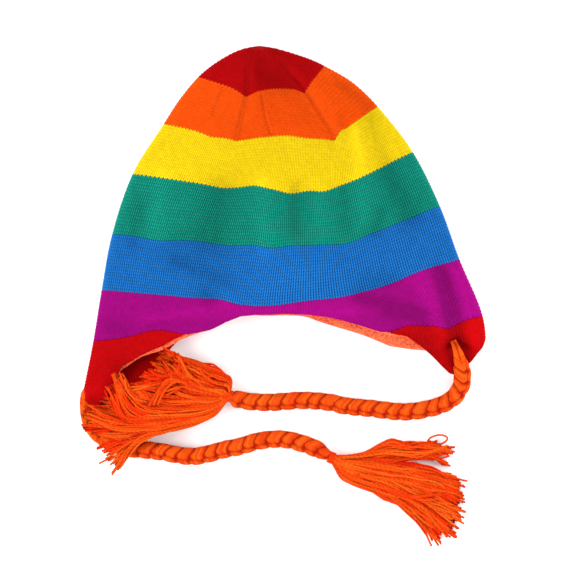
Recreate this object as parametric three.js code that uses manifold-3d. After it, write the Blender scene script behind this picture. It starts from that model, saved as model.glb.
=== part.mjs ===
// A rainbow knit ear-flap hat that lies on its back, front up. Millimetres, +Z up, crown towards +Y.
import * as THREE from "three";
import { mergeVertices } from "three/addons/utils/BufferGeometryUtils.js";
import Module from "manifold-3d";

const wasm = await Module();
wasm.setup();

// Wall thicknesses and gaps
const KNIT_THICK = 2.4;
const LINING_THICK = 1.7;
const LAYER_GAP = 0.6;
const STRIPE_GAP = 0.3;
const LINING_PEEK = 0.9;

// Loops round the hat: steps in a quarter of the side fold, and from the fold to the middle
const FOLD_STEPS = 3;
const FRONT_STEPS = 12;
const BACK_STEPS = 8;

// The crown darts lie at this share of the half width, and fade out below the orange stripe
const DART_U = 0.45;
const DART_WIDTH = 0.2;
const DART_SHARPNESS = 1.6;
const DART_DEPTH = 2.2;
const DART_START_LEVEL = 0.9;
const DART_FULL_LEVEL = 1.5;
const DART_END_LEVEL = 2.4;

// Levels count colour changes down from the apex: 1 is red to orange, 6 is purple to the red flaps
const RIM_STRIPE_LEVEL = 5;
const FLAP_LEVEL = 6;
const RIM_ROWS = 3;
const FLAP_ROWS = 3;

// Seen from above: the two side folds, the dart lines and the middle of the front at each level.
// fold is the radius of the side folds, puff the rise of the front, dips how far the darts sag.
const SECTIONS = [
  { level: 0.0, left: [-18.2, 120.0], dartLeft: [-18.2, 120.0], middle: [-18.2, 120.0],
    dartRight: [-18.2, 120.0], right: [-18.2, 120.0], fold: 8.0, puff: 0, dipLeft: 0, dipRight: 0 },
  { level: 0.06, left: [-26.6, 118.6], dartLeft: [-22.8, 117.9], middle: [-17.5, 117.8],
    dartRight: [-12.6, 117.9], right: [-8.8, 118.6], fold: 8.0, puff: 0.5, dipLeft: 0, dipRight: 0 },
  { level: 0.25, left: [-37.1, 114.8], dartLeft: [-25.2, 112.7], middle: [-15.4, 112.0],
    dartRight: [-5.6, 112.7], right: [3.4, 115.3], fold: 8.0, puff: 3, dipLeft: 0.6, dipRight: 0.3 },
  { level: 0.6, left: [-50.4, 106.8], dartLeft: [-26.6, 101.5], middle: [-13.3, 100.8],
    dartRight: [2.0, 102.2], right: [17.4, 110.6], fold: 8.0, puff: 8, dipLeft: 2.8, dipRight: 2.4 },
  { level: 1.0, left: [-60.9, 98.0], dartLeft: [-27.3, 87.5], middle: [-7.7, 88.9],
    dartRight: [13.2, 90.3], right: [27.9, 105.7], fold: 8.0, puff: 13, dipLeft: 4.2, dipRight: 4.4 },
  { level: 1.5, left: [-73.5, 82.9], dartLeft: [-30.8, 70.7], middle: [-4.2, 72.8],
    dartRight: [24.4, 74.2], right: [47.5, 94.1], fold: 8.0, puff: 17, dipLeft: 3.4, dipRight: 5.2 },
  { level: 2.0, left: [-85.1, 65.1], dartLeft: [-34.3, 54.6], middle: [-0.8, 56.0],
    dartRight: [34.2, 58.1], right: [65.0, 77.3], fold: 8.0, puff: 20, dipLeft: 2.2, dipRight: 5.4 },
  { level: 3.0, left: [-106.8, 30.1], dartLeft: [-44.1, 21.0], middle: [-4.2, 18.9],
    dartRight: [37.0, 21.0], right: [89.5, 45.5], fold: 8.0, puff: 22, dipLeft: 1.4, dipRight: 0 },
  { level: 4.0, left: [-121.1, -11.9], dartLeft: [-57.4, -17.5], middle: [-7.0, -20.3],
    dartRight: [43.3, -16.8], right: [108.4, 7.7], fold: 8.0, puff: 21, dipLeft: 0, dipRight: 0 },
  { level: 5.0, left: [-128.5, -51.1], dartLeft: [-65.1, -56.7], middle: [-12.6, -62.3],
    dartRight: [49.7, -53.9], right: [122.1, -29.4], fold: 7.5, puff: 17, dipLeft: 0, dipRight: 0 },
  { level: 6.0, left: [-134.4, -86.8], dartLeft: [-72.1, -82.6], middle: [-13.3, -94.5],
    dartRight: [59.4, -83.3], right: [138.5, -69.3], fold: 6.4, puff: 9, dipLeft: 0, dipRight: 0 },
  { level: 7.0, left: [-140.7, -118.3], dartLeft: [-79.1, -114.8], middle: [-14.0, -126.7],
    dartRight: [63.7, -116.2], right: [141.3, -101.5], fold: 5.7, puff: 0.5, dipLeft: 0, dipRight: 0 },
];

// Level of the cut edge, from the left fold (u = -1) to the right fold (u = 1)
const FRONT_RIM = [
  { u: -1.0, level: 7.0 }, { u: -0.93, level: 6.9 }, { u: -0.82, level: 6.63 },
  { u: -0.7, level: 6.43 }, { u: -0.555, level: 6.28 }, { u: -0.46, level: 6.09 },
  { u: -0.38, level: 5.92 }, { u: -0.3, level: 5.74 }, { u: -0.22, level: 5.51 },
  { u: -0.14, level: 5.27 }, { u: -0.06, level: 5.17 }, { u: 0.08, level: 5.17 },
  { u: 0.21, level: 5.26 }, { u: 0.28, level: 5.36 }, { u: 0.34, level: 5.5 },
  { u: 0.41, level: 5.7 }, { u: 0.475, level: 5.89 }, { u: 0.55, level: 6.08 },
  { u: 0.62, level: 6.24 }, { u: 0.69, level: 6.56 }, { u: 0.77, level: 6.9 },
  { u: 0.83, level: 7.12 }, { u: 0.925, level: 6.92 }, { u: 0.985, level: 6.6 }, { u: 1.0, level: 6.5 },
];
const BACK_RIM = [
  { u: -1.0, level: 7.0 }, { u: -0.9, level: 7.05 }, { u: -0.8, level: 7.0 }, { u: -0.65, level: 6.9 },
  { u: -0.555, level: 6.62 }, { u: -0.46, level: 6.25 }, { u: -0.38, level: 5.88 },
  { u: -0.22, level: 5.36 }, { u: -0.1, level: 5.14 }, { u: 0.05, level: 5.14 }, { u: 0.2, level: 5.32 },
  { u: 0.36, level: 5.72 }, { u: 0.55, level: 6.26 }, { u: 0.74, level: 6.5 }, { u: 0.9, level: 6.55 },
  { u: 1.0, level: 6.5 },
];

// Soft folds and dents of the front: centre, half width in u, half length in levels, rise
const FRONT_FOLDS = [
  { u: 0.81, level: 6.2, across: 0.09, along: 0.55, rise: -2.2 },
  { u: -0.06, level: 3.0, across: 0.1, along: 0.7, rise: 1.4 },
  { u: 0.12, level: 3.2, across: 0.09, along: 0.8, rise: -1.3 },
  { u: -0.62, level: 4.6, across: 0.1, along: 1.0, rise: -1.6 },
  { u: 0.55, level: 4.8, across: 0.12, along: 1.0, rise: -1.5 },
  { u: -0.2, level: 5.4, across: 0.1, along: 0.7, rise: -1.6 },
];

// Below the back layer's edge the right flap's front sinks towards the surface
const DROOP = { startU: 0.48, fullU: 0.66, fadeU: 0.74, endU: 1.0, fromLevel: 6.3, toLevel: 7.1, fall: 3.8 };

// Braided ties: routes of the centre lines from the flap tips to the tassel heads
const TIE_RADIUS = 6.4;
const TIE_SIDES = 8;
const TIE_STEPS = 38;
const TIE_LEFT_ROUTE = [
  [-136.0, -120.4, 6.7], [-137.5, -131.0, 6.7], [-135.2, -144.6, 6.7], [-126.6, -154.8, 6.7],
  [-111.8, -160.9, 6.7], [-94.5, -163.1, 6.7], [-84.0, -164.5, 6.7], [-73.5, -166.6, 6.7],
  [-63.0, -167.3, 6.7], [-52.5, -165.2, 6.7], [-42.0, -162.4, 6.7], [-31.5, -160.3, 6.7],
  [-21.0, -157.1, 6.7], [-10.5, -155.4, 6.7], [-0.1, -155.4, 6.7], [10.4, -157.8, 6.7],
  [20.9, -161.6, 6.7], [29.3, -166.4, 6.7],
];
const TIE_RIGHT_ROUTE = [
  [118.5, -89.0, 24.0], [121.5, -98.5, 20.8], [123.5, -108.4, 15.6], [122.9, -118.0, 9.2],
  [117.5, -126.4, 6.7], [107.9, -131.8, 6.7], [94.4, -135.1, 6.7], [83.9, -136.1, 6.7],
  [73.4, -135.4, 6.7], [62.9, -134.0, 6.7], [52.4, -133.0, 6.7], [41.9, -131.9, 6.7],
  [31.4, -129.5, 6.7], [20.9, -128.4, 6.7], [10.4, -128.1, 6.7], [-0.1, -128.8, 6.7],
  [-10.5, -129.5, 6.7], [-21.0, -129.2, 6.7], [-29.4, -128.1, 6.9], [-35.3, -126.6, 7.2],
];

// Tassels: a round head at the end of the tie, and locks that bend towards their tips
const HEAD_RADIUS = 7.2;
const HEAD_LENGTH = 9;
const LOCK_SIDES = 6;
const LOCK_STEPS = 4;
const LOCK_ROOT_RADIUS = 3.4;
const TASSEL_RIGHT = {
  head: [-40.4, -125.2, 7.6],
  towards: [-1.0, 0.2, 0.05],
  locks: [
    { bend: [-54.7, -101.5, 11.0], tip: [-82.7, -97.0, 10.5], middle: 6.4, end: 4.0 },
    { bend: [-70.1, -104.0, 16.0], tip: [-107.1, -106.0, 19.0], middle: 7.0, end: 3.6 },
    { bend: [-75.1, -112.5, 19.0], tip: [-120.1, -115.5, 19.5], middle: 7.4, end: 4.0 },
    { bend: [-84.1, -118.0, 20.0], tip: [-140.5, -124.5, 19.0], middle: 7.4, end: 4.0 },
    { bend: [-89.1, -127.0, 20.5], tip: [-142.5, -138.5, 19.0], middle: 7.8, end: 4.2 },
    { bend: [-93.1, -135.0, 20.0], tip: [-138.6, -149.0, 19.0], middle: 7.2, end: 3.8 },
    { bend: [-87.1, -138.5, 19.0], tip: [-125.6, -162.0, 18.6], middle: 7.0, end: 3.6 },
    { bend: [-89.1, -146.0, 30.0], tip: [-120.1, -178.0, 13.0], middle: 5.0, end: 2.4 },
    { bend: [-56.0, -141.0, 8.5], tip: [-85.5, -148.0, 6.0], middle: 6.4, end: 4.0 },
    { bend: [-70.1, -123.0, 14.0], tip: [-101.1, -130.0, 15.0], middle: 8.0, end: 5.0 },
  ],
};
const TASSEL_LEFT = {
  head: [33.9, -169.1, 7.6],
  towards: [0.9, -0.42, 0.0],
  locks: [
    { bend: [69.3, -164.2, 8.0], tip: [98.7, -158.0, 5.0], middle: 6.4, end: 4.0 },
    { bend: [79.0, -167.3, 11.0], tip: [118.9, -164.5, 5.2], middle: 7.2, end: 4.2 },
    { bend: [81.9, -173.6, 14.0], tip: [125.3, -181.3, 5.4], middle: 7.6, end: 4.4 },
    { bend: [83.3, -179.9, 15.0], tip: [125.3, -198.1, 5.4], middle: 7.6, end: 4.6 },
    { bend: [83.3, -185.5, 14.0], tip: [123.2, -212.0, 5.4], middle: 7.4, end: 4.6 },
    { bend: [80.5, -188.3, 12.0], tip: [114.5, -220.0, 5.0], middle: 7.0, end: 4.2 },
    { bend: [77.6, -189.7, 9.0], tip: [105.3, -227.5, 4.6], middle: 6.0, end: 3.4 },
    { bend: [60.9, -182.0, 8.0], tip: [90.9, -205.5, 5.0], middle: 6.4, end: 4.0 },
  ],
};

// Yarn colours
const COLOURS = {
  red: "#ad0409", orange: "#f05108", yellow: "#f4d813", green: "#118975",
  blue: "#1c6cba", purple: "#a5077d", flap: "#c3060d", coral: "#f86642", tie: "#ef4f12",
};
const KNIT_ROUGHNESS = 0.92;

// Smooth curve through rows of a table: a cubic between knots with shared slopes
function smoothThrough(knots, values, at) {
  const last = knots.length - 1;
  let i = 0;
  while (i < last - 1 && at > knots[i + 1]) {
    i += 1;
  }
  const slope = (k) => {
    const a = Math.max(k - 1, 0);
    const b = Math.min(k + 1, last);
    return (values[b] - values[a]) / (knots[b] - knots[a]);
  };
  const span = knots[i + 1] - knots[i];
  const t = (at - knots[i]) / span;
  const t2 = t * t;
  const t3 = t2 * t;
  return (2 * t3 - 3 * t2 + 1) * values[i] + (t3 - 2 * t2 + t) * span * slope(i)
    + (3 * t2 - 2 * t3) * values[i + 1] + (t3 - t2) * span * slope(i + 1);
}

// Straight lines through rows of a table
function linearThrough(rows, u) {
  let i = 0;
  while (i < rows.length - 2 && u > rows[i + 1].u) {
    i += 1;
  }
  const t = (u - rows[i].u) / (rows[i + 1].u - rows[i].u);
  return THREE.MathUtils.lerp(rows[i].level, rows[i + 1].level, THREE.MathUtils.clamp(t, 0, 1));
}

const LEVELS = SECTIONS.map((row) => row.level);
const LINE_POINTS = ["left", "dartLeft", "middle", "dartRight", "right"];
const LINE_KNOTS = [-1, -DART_U, 0, DART_U, 1];

function column(name, level, axis) {
  const values = SECTIONS.map((row) => (axis === undefined ? row[name] : row[name][axis]));
  return smoothThrough(LEVELS, values, level);
}

// A sharp ridge at a dart that runs out smoothly to both sides
const tent = (u, centre, width) => Math.max(0, 1 - Math.abs(u - centre) / width) ** DART_SHARPNESS;

// The colour line of one level seen from above, with the sags at the darts
function planPoint(u, level) {
  const xs = LINE_POINTS.map((name) => column(name, level, 0));
  const ys = LINE_POINTS.map((name) => column(name, level, 1));
  const sag = column("dipLeft", level) * tent(u, -DART_U, DART_WIDTH)
    + column("dipRight", level) * tent(u, DART_U, DART_WIDTH);
  return [smoothThrough(LINE_KNOTS, xs, u), smoothThrough(LINE_KNOTS, ys, u) - sag];
}

// Length of a colour line from the middle to one side fold
function halfLength(side, level) {
  const steps = 4;
  let total = 0;
  for (let i = 0; i < steps; i += 1) {
    const a = planPoint((side * i) / steps, level);
    const b = planPoint((side * (i + 1)) / steps, level);
    total += Math.hypot(b[0] - a[0], b[1] - a[1]);
  }
  return total;
}

function foldRise(u, level) {
  let rise = 0;
  for (const fold of FRONT_FOLDS) {
    const a = (u - fold.u) / fold.across;
    const b = (level - fold.level) / fold.along;
    rise += fold.rise * Math.exp(-a * a - b * b);
  }
  return rise;
}

function droop(u, level) {
  const across = THREE.MathUtils.smoothstep(u, DROOP.startU, DROOP.fullU)
    * (1 - THREE.MathUtils.smoothstep(u, DROOP.fadeU, DROOP.endU));
  return DROOP.fall * across * THREE.MathUtils.smoothstep(level, DROOP.fromLevel, DROOP.toLevel);
}

// Height of the outer face: the back lies on the surface, the front rises from the side folds
function heightAt(face, u, round, level, radius) {
  const centre = column("fold", level);
  if (face < 0) {
    return centre - radius * round;
  }
  const dartShare = THREE.MathUtils.smoothstep(level, 0, DART_START_LEVEL)
    * (1 - THREE.MathUtils.smoothstep(level, DART_FULL_LEVEL, DART_END_LEVEL));
  const valley = DART_DEPTH * dartShare * (tent(u, -DART_U, DART_WIDTH) + tent(u, DART_U, DART_WIDTH));
  const share = radius / centre;
  const body = column("puff", level) * (1 - u * u) - share * valley + share * round * foldRise(u, level);
  return centre + radius * round + body - droop(u, level);
}

// Where a step p of the loop lies: face 1 is the front and -1 the back, arc runs round the side fold
// and run from the fold to the middle
const LOOP = [
  { face: 1, side: -1, steps: FRONT_STEPS, inward: true },
  { face: 1, side: 1, steps: FRONT_STEPS, inward: false },
  { face: -1, side: 1, steps: BACK_STEPS, inward: true },
  { face: -1, side: -1, steps: BACK_STEPS, inward: false },
];
const LOOP_STEPS = LOOP.reduce((sum, part) => sum + part.steps + FOLD_STEPS, 0);

function placeInLoop(p) {
  let rest = ((p % LOOP_STEPS) + LOOP_STEPS) % LOOP_STEPS;
  for (const part of LOOP) {
    const size = part.steps + FOLD_STEPS;
    if (rest < size) {
      const k = part.inward ? rest : size - rest;
      const arc = Math.min(1, k / FOLD_STEPS);
      const run = Math.max(0, (k - FOLD_STEPS) / part.steps);
      return { face: part.face, side: part.side, arc, run };
    }
    rest -= size;
  }
  return { face: 1, side: -1, arc: 0, run: 0 };
}

// Share of the half width at step p, and how far round the fold it is
function acrossAt(place, level) {
  const half = halfLength(place.side, level);
  const radius = Math.min(column("fold", level), 0.6 * half);
  if (place.arc < 1) {
    const turn = (place.arc * Math.PI) / 2;
    const inset = half > 0 ? (radius * (1 - Math.cos(turn))) / half : 0;
    return { u: place.side * (1 - inset), round: Math.sin(turn), radius };
  }
  const edge = half > 0 ? 1 - radius / half : 0.4;
  const dart = Math.min(DART_U, 0.8 * edge);
  const outer = place.run < 0.5;
  const share = outer
    ? THREE.MathUtils.lerp(edge, dart, place.run * 2)
    : THREE.MathUtils.lerp(dart, 0, place.run * 2 - 1);
  return { u: place.side * share, round: 1, radius };
}

// Outer face of the knit
function outerPoint(p, level) {
  const place = placeInLoop(p);
  const { u, round, radius } = acrossAt(place, level);
  const [x, y] = planPoint(u, level);
  return new THREE.Vector3(x, y, heightAt(place.face, u, round, level, radius));
}

// A point at a depth below the outer face
function wallPoint(p, level, depth) {
  const point = outerPoint(p, level);
  if (depth === 0) {
    return point;
  }
  const normal = new THREE.Vector3(0, 1, 0);
  if (level > 0.01) {
    const along = outerPoint(p + 0.2, level).sub(outerPoint(p - 0.2, level));
    const down = outerPoint(p, level + 0.02).sub(outerPoint(p, level - 0.02));
    normal.crossVectors(down, along).normalize();
  }
  return point.addScaledVector(normal, -depth);
}

// Level of the cut edge at step p
function rimLevel(p) {
  const place = placeInLoop(p);
  const { u } = acrossAt(place, FLAP_LEVEL);
  return linearThrough(place.face > 0 ? FRONT_RIM : BACK_RIM, u);
}

const stripeEnd = (p) => Math.min(FLAP_LEVEL, rimLevel(p));

// Change of level that moves a point at step p by a distance down the hat
function levelStep(p, level, distance) {
  const reach = outerPoint(p, level + 0.05).distanceTo(outerPoint(p, level - 0.05));
  return (0.1 * distance) / reach;
}

// A closed wall between two depths, over rows of points; a row holds one level for each loop step
function wallGeometry(steps, rows, outerDepth, innerDepth, closedLoop) {
  const positions = [];
  const indexOf = new Map();
  const vertex = (point) => {
    const key = point.toArray().map((v) => Math.round(v * 2000)).join(",");
    if (!indexOf.has(key)) {
      indexOf.set(key, positions.length / 3);
      positions.push(point.x, point.y, point.z);
    }
    return indexOf.get(key);
  };
  const sheet = (depth) => rows.map((row) => steps.map((p, i) => vertex(wallPoint(p, row[i], depth))));
  const outer = sheet(outerDepth);
  const inner = sheet(innerDepth);
  const faces = [];
  const triangle = (a, b, c) => {
    if (a !== b && b !== c && a !== c) {
      faces.push(a, b, c);
    }
  };
  const quad = (a, b, c, d) => {
    triangle(a, b, c);
    triangle(a, c, d);
  };
  const width = steps.length;
  const spans = closedLoop ? width : width - 1;
  const last = rows.length - 1;
  for (let i = 0; i < spans; i += 1) {
    const k = (i + 1) % width;
    for (let j = 0; j < last; j += 1) {
      quad(outer[j][i], outer[j + 1][i], outer[j + 1][k], outer[j][k]);
      quad(inner[j][i], inner[j][k], inner[j + 1][k], inner[j + 1][i]);
    }
    if (outer[0][i] !== outer[0][k]) {
      quad(outer[0][k], inner[0][k], inner[0][i], outer[0][i]);
    }
    quad(inner[last][i], inner[last][k], outer[last][k], outer[last][i]);
  }
  if (!closedLoop) {
    for (let j = 0; j < last; j += 1) {
      quad(outer[j][0], inner[j][0], inner[j + 1][0], outer[j + 1][0]);
      const e = width - 1;
      quad(outer[j + 1][e], inner[j + 1][e], inner[j][e], outer[j][e]);
    }
  }
  const geometry = new THREE.BufferGeometry();
  geometry.setAttribute("position", new THREE.Float32BufferAttribute(positions, 3));
  geometry.setIndex(faces);
  return geometry;
}

const hat = new THREE.Group();

function addMesh(name, geometry, colour) {
  geometry.computeVertexNormals();
  const material = new THREE.MeshStandardMaterial({ color: colour, roughness: KNIT_ROUGHNESS, metalness: 0 });
  const mesh = new THREE.Mesh(geometry, material);
  mesh.name = name;
  hat.add(mesh);
}

const ALL_STEPS = Array.from({ length: LOOP_STEPS }, (_, p) => p);
const HALF_GAP = STRIPE_GAP / 2;

// Stripes from the apex to the purple one
const STRIPES = [
  { name: "stripe_red_crown", levels: [0, 0.06, 0.25, 0.6, 1], colour: COLOURS.red },
  { name: "stripe_orange", levels: [1, 1.35, 1.7, 2], colour: COLOURS.orange },
  { name: "stripe_yellow", levels: [2, 2.5, 3], colour: COLOURS.yellow },
  { name: "stripe_green", levels: [3, 3.5, 4], colour: COLOURS.green },
  { name: "stripe_blue", levels: [4, 4.5, 5], colour: COLOURS.blue },
];

function stripeRows(levels) {
  const last = levels.length - 1;
  return levels.map((level, j) => {
    let gap = 0;
    if (j === 0 && level > 0) {
      gap = HALF_GAP;
    }
    if (j === last) {
      gap = -HALF_GAP;
    }
    return ALL_STEPS.map((p) => level + levelStep(p, level, gap));
  });
}

for (const stripe of STRIPES) {
  const rows = stripeRows(stripe.levels);
  addMesh(stripe.name, wallGeometry(ALL_STEPS, rows, 0, KNIT_THICK, true), stripe.colour);
}

// Rows from a start to an end level that may differ from step to step
function rowsBetween(steps, count, startOf, endOf) {
  return Array.from({ length: count + 1 }, (_, j) =>
    steps.map((p) => THREE.MathUtils.lerp(startOf(p), endOf(p), j / count)));
}

const purpleTop = (p) => RIM_STRIPE_LEVEL + levelStep(p, RIM_STRIPE_LEVEL, HALF_GAP);
const purpleEnd = (p) => stripeEnd(p) - levelStep(p, FLAP_LEVEL, HALF_GAP);
const purpleRows = rowsBetween(ALL_STEPS, RIM_ROWS, purpleTop, purpleEnd);
addMesh("stripe_purple", wallGeometry(ALL_STEPS, purpleRows, 0, KNIT_THICK, true), COLOURS.purple);

// Ear flaps: the steps round one side fold where the rim lies below the purple stripe
function flapSteps(foldStep) {
  const steps = [];
  let first = foldStep;
  while (rimLevel(first) > FLAP_LEVEL) {
    first -= 1;
  }
  let p = first;
  do {
    steps.push(p);
    p += 1;
  } while (rimLevel(p - 1) > FLAP_LEVEL || p - 1 === first);
  return steps;
}

function addFlap(name, foldStep) {
  const steps = flapSteps(foldStep);
  const start = (p) => stripeEnd(p) + levelStep(p, FLAP_LEVEL, HALF_GAP);
  const rows = rowsBetween(steps, FLAP_ROWS, start, (p) => Math.max(rimLevel(p), start(p)));
  addMesh(name, wallGeometry(steps, rows, 0, KNIT_THICK, false), COLOURS.flap);
}

const RIGHT_FOLD_STEP = 2 * (FRONT_STEPS + FOLD_STEPS);
addFlap("flap_red_left", 0);
addFlap("flap_red_right", RIGHT_FOLD_STEP);

// Fleece lining: one shell inside the stripes and flaps
const liningTop = KNIT_THICK + LAYER_GAP;
const liningEnd = (p) => Math.max(rimLevel(p), stripeEnd(p)) + levelStep(p, FLAP_LEVEL, LINING_PEEK);
const stripeLevels = [...new Set(STRIPES.flatMap((stripe) => stripe.levels))];
const liningLevels = stripeLevels.filter((level) => level === 0 || (level > 0.1 && level < RIM_STRIPE_LEVEL));
const liningRows = [
  ...liningLevels.map((level) => ALL_STEPS.map(() => level)),
  ...rowsBetween(ALL_STEPS, RIM_ROWS, () => RIM_STRIPE_LEVEL, stripeEnd),
  ...rowsBetween(ALL_STEPS, FLAP_ROWS, stripeEnd, liningEnd).slice(1),
];
const liningWall = wallGeometry(ALL_STEPS, liningRows, liningTop, liningTop + LINING_THICK, true);
addMesh("lining", liningWall, COLOURS.coral);

// Ties: a round section swept along the route
function addTie(name, route) {
  const path = new THREE.CatmullRomCurve3(route.map((point) => new THREE.Vector3(...point)), false, "centripetal");
  const ring = Array.from({ length: TIE_SIDES }, (_, k) => {
    const turn = (2 * Math.PI * (k + 0.5)) / TIE_SIDES;
    return new THREE.Vector2(TIE_RADIUS * Math.cos(turn), TIE_RADIUS * Math.sin(turn));
  });
  const options = { steps: TIE_STEPS, bevelEnabled: false, extrudePath: path };
  addMesh(name, new THREE.ExtrudeGeometry(new THREE.Shape(ring), options), COLOURS.tie);
}

addTie("tie_left", TIE_LEFT_ROUTE);
addTie("tie_right", TIE_RIGHT_ROUTE);

// Turns a closed geometry into a solid that can be joined
function solidOf(geometry) {
  const bare = new THREE.BufferGeometry();
  const source = geometry.index ? geometry.toNonIndexed() : geometry;
  bare.setAttribute("position", source.getAttribute("position"));
  const merged = mergeVertices(bare, 1e-3);
  return new wasm.Manifold(new wasm.Mesh({
    numProp: 3,
    vertProperties: merged.attributes.position.array,
    triVerts: new Uint32Array(merged.index.array),
  }));
}

function geometryOf(solid) {
  const mesh = solid.getMesh();
  const geometry = new THREE.BufferGeometry();
  geometry.setAttribute("position", new THREE.Float32BufferAttribute(mesh.vertProperties, 3));
  geometry.setIndex(Array.from(mesh.triVerts));
  return geometry;
}

// A lock of yarn: rings along a bent path, closed by a point at each end
function lockGeometry(root, lock) {
  const bend = new THREE.Vector3(...lock.bend);
  const tip = new THREE.Vector3(...lock.tip);
  const path = new THREE.QuadraticBezierCurve3(root, bend, tip);
  const positions = [];
  const up = new THREE.Vector3(0, 0, 1);
  for (let j = 0; j <= LOCK_STEPS; j += 1) {
    const t = j / LOCK_STEPS;
    const centre = path.getPoint(t);
    const tangent = path.getTangent(t);
    const across = new THREE.Vector3().crossVectors(up, tangent).normalize();
    const over = new THREE.Vector3().crossVectors(tangent, across);
    const radius = smoothThrough([0, 0.5, 1], [LOCK_ROOT_RADIUS, lock.middle, lock.end], t);
    for (let k = 0; k < LOCK_SIDES; k += 1) {
      const turn = (2 * Math.PI * k) / LOCK_SIDES;
      const point = centre.clone().addScaledVector(across, radius * Math.cos(turn));
      point.addScaledVector(over, radius * Math.sin(turn));
      positions.push(...point.toArray());
    }
  }
  const faces = [];
  const at = (j, k) => j * LOCK_SIDES + (k % LOCK_SIDES);
  for (let j = 0; j < LOCK_STEPS; j += 1) {
    for (let k = 0; k < LOCK_SIDES; k += 1) {
      faces.push(at(j, k), at(j, k + 1), at(j + 1, k + 1), at(j, k), at(j + 1, k + 1), at(j + 1, k));
    }
  }
  for (let k = 1; k < LOCK_SIDES - 1; k += 1) {
    faces.push(at(0, 0), at(0, k + 1), at(0, k));
    faces.push(at(LOCK_STEPS, 0), at(LOCK_STEPS, k), at(LOCK_STEPS, k + 1));
  }
  const geometry = new THREE.BufferGeometry();
  geometry.setAttribute("position", new THREE.Float32BufferAttribute(positions, 3));
  geometry.setIndex(faces);
  return geometry;
}

// The bound head of a tassel, turned towards its locks
function headGeometry(tassel) {
  const half = HEAD_LENGTH / 2;
  const profile = [
    [0, -half], [0.75 * HEAD_RADIUS, -half], [HEAD_RADIUS, 0], [0.85 * HEAD_RADIUS, half], [0, half],
  ].map(([r, y]) => new THREE.Vector2(r, y));
  const geometry = new THREE.LatheGeometry(profile, 8);
  const towards = new THREE.Vector3(...tassel.towards).normalize();
  const turn = new THREE.Quaternion().setFromUnitVectors(new THREE.Vector3(0, 1, 0), towards);
  geometry.applyQuaternion(turn);
  geometry.translate(...tassel.head);
  return geometry;
}

function addTassel(name, tassel) {
  const root = new THREE.Vector3(...tassel.head);
  const solids = [headGeometry(tassel), ...tassel.locks.map((lock) => lockGeometry(root, lock))].map(solidOf);
  addMesh(name, geometryOf(wasm.Manifold.union(solids)), COLOURS.tie);
}

addTassel("tassel_left", TASSEL_LEFT);
addTassel("tassel_right", TASSEL_RIGHT);

export default hat;
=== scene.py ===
"""The looks of a rainbow knit ear-flap hat that lies on its back: stitches, fleece, braids, tassels."""

from math import cos, pi, radians, sin

import bpy
import numpy as np
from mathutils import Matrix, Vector, noise


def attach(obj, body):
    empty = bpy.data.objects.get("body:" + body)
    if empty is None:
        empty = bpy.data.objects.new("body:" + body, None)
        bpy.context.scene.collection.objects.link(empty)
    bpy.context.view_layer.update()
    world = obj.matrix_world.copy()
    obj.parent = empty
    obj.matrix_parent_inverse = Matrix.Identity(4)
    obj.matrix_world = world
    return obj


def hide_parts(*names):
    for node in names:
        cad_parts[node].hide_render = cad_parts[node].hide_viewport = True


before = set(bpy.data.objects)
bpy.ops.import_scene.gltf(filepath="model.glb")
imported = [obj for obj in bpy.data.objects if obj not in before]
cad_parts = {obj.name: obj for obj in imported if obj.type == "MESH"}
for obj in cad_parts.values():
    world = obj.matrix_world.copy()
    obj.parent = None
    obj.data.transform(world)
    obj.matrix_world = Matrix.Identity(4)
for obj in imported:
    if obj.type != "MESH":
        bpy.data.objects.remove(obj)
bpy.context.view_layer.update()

# Tables are in millimetres, as in the part's source; meshes are made in metres
MM = 0.001

# Camera straight above the surface
CAMERA_CENTRE = (3.45, -51.1)
CAMERA_FOCUS_HEIGHT = 8.0
CAMERA_DISTANCE = 2500.0
CAMERA_FRAME = 406.0
CAMERA_SENSOR = 36.0
CAMERA_CLIP = 100

# Wall of the hat: depths below the knit's face, darts, and steps for measuring along it
KNIT_THICK = 2.4
LINING_TOP = 3.0
LINING_BOTTOM = 4.7
LINING_PEEK = 0.9
DART_U = 0.45
DART_WIDTH = 0.2
DART_SHARPNESS = 1.6
DART_DEPTH = 2.2
DART_LEVELS = (0, 0.9, 1.5, 2.4)
PURPLE_LEVEL = 5.0
FLAP_LEVEL = 6.0
FOLD_SHARE = 0.6
FOLD_EXTRA = pi / 2 - 1
LENGTH_LEVELS = np.linspace(0, 7.6, 381)
LENGTH_PARTS = 4
LEAST_LENGTH = 1e-4
SAFE_LEVEL = 0.03
APEX_LEVEL = 0.05
TURN_STEP = 0.006
LEVEL_STEP = 0.012
MERGE_PER_MM = 2000
MAPS = ["OFBake", "plies"]
TINY = 1e-9
UP = np.array([0.0, 0.0, 1.0])
NEARLY_UP = np.array([0.05, 0.1, 1.0])
TO_CROWN = np.array([0.0, 1.0, 0.0])

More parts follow.
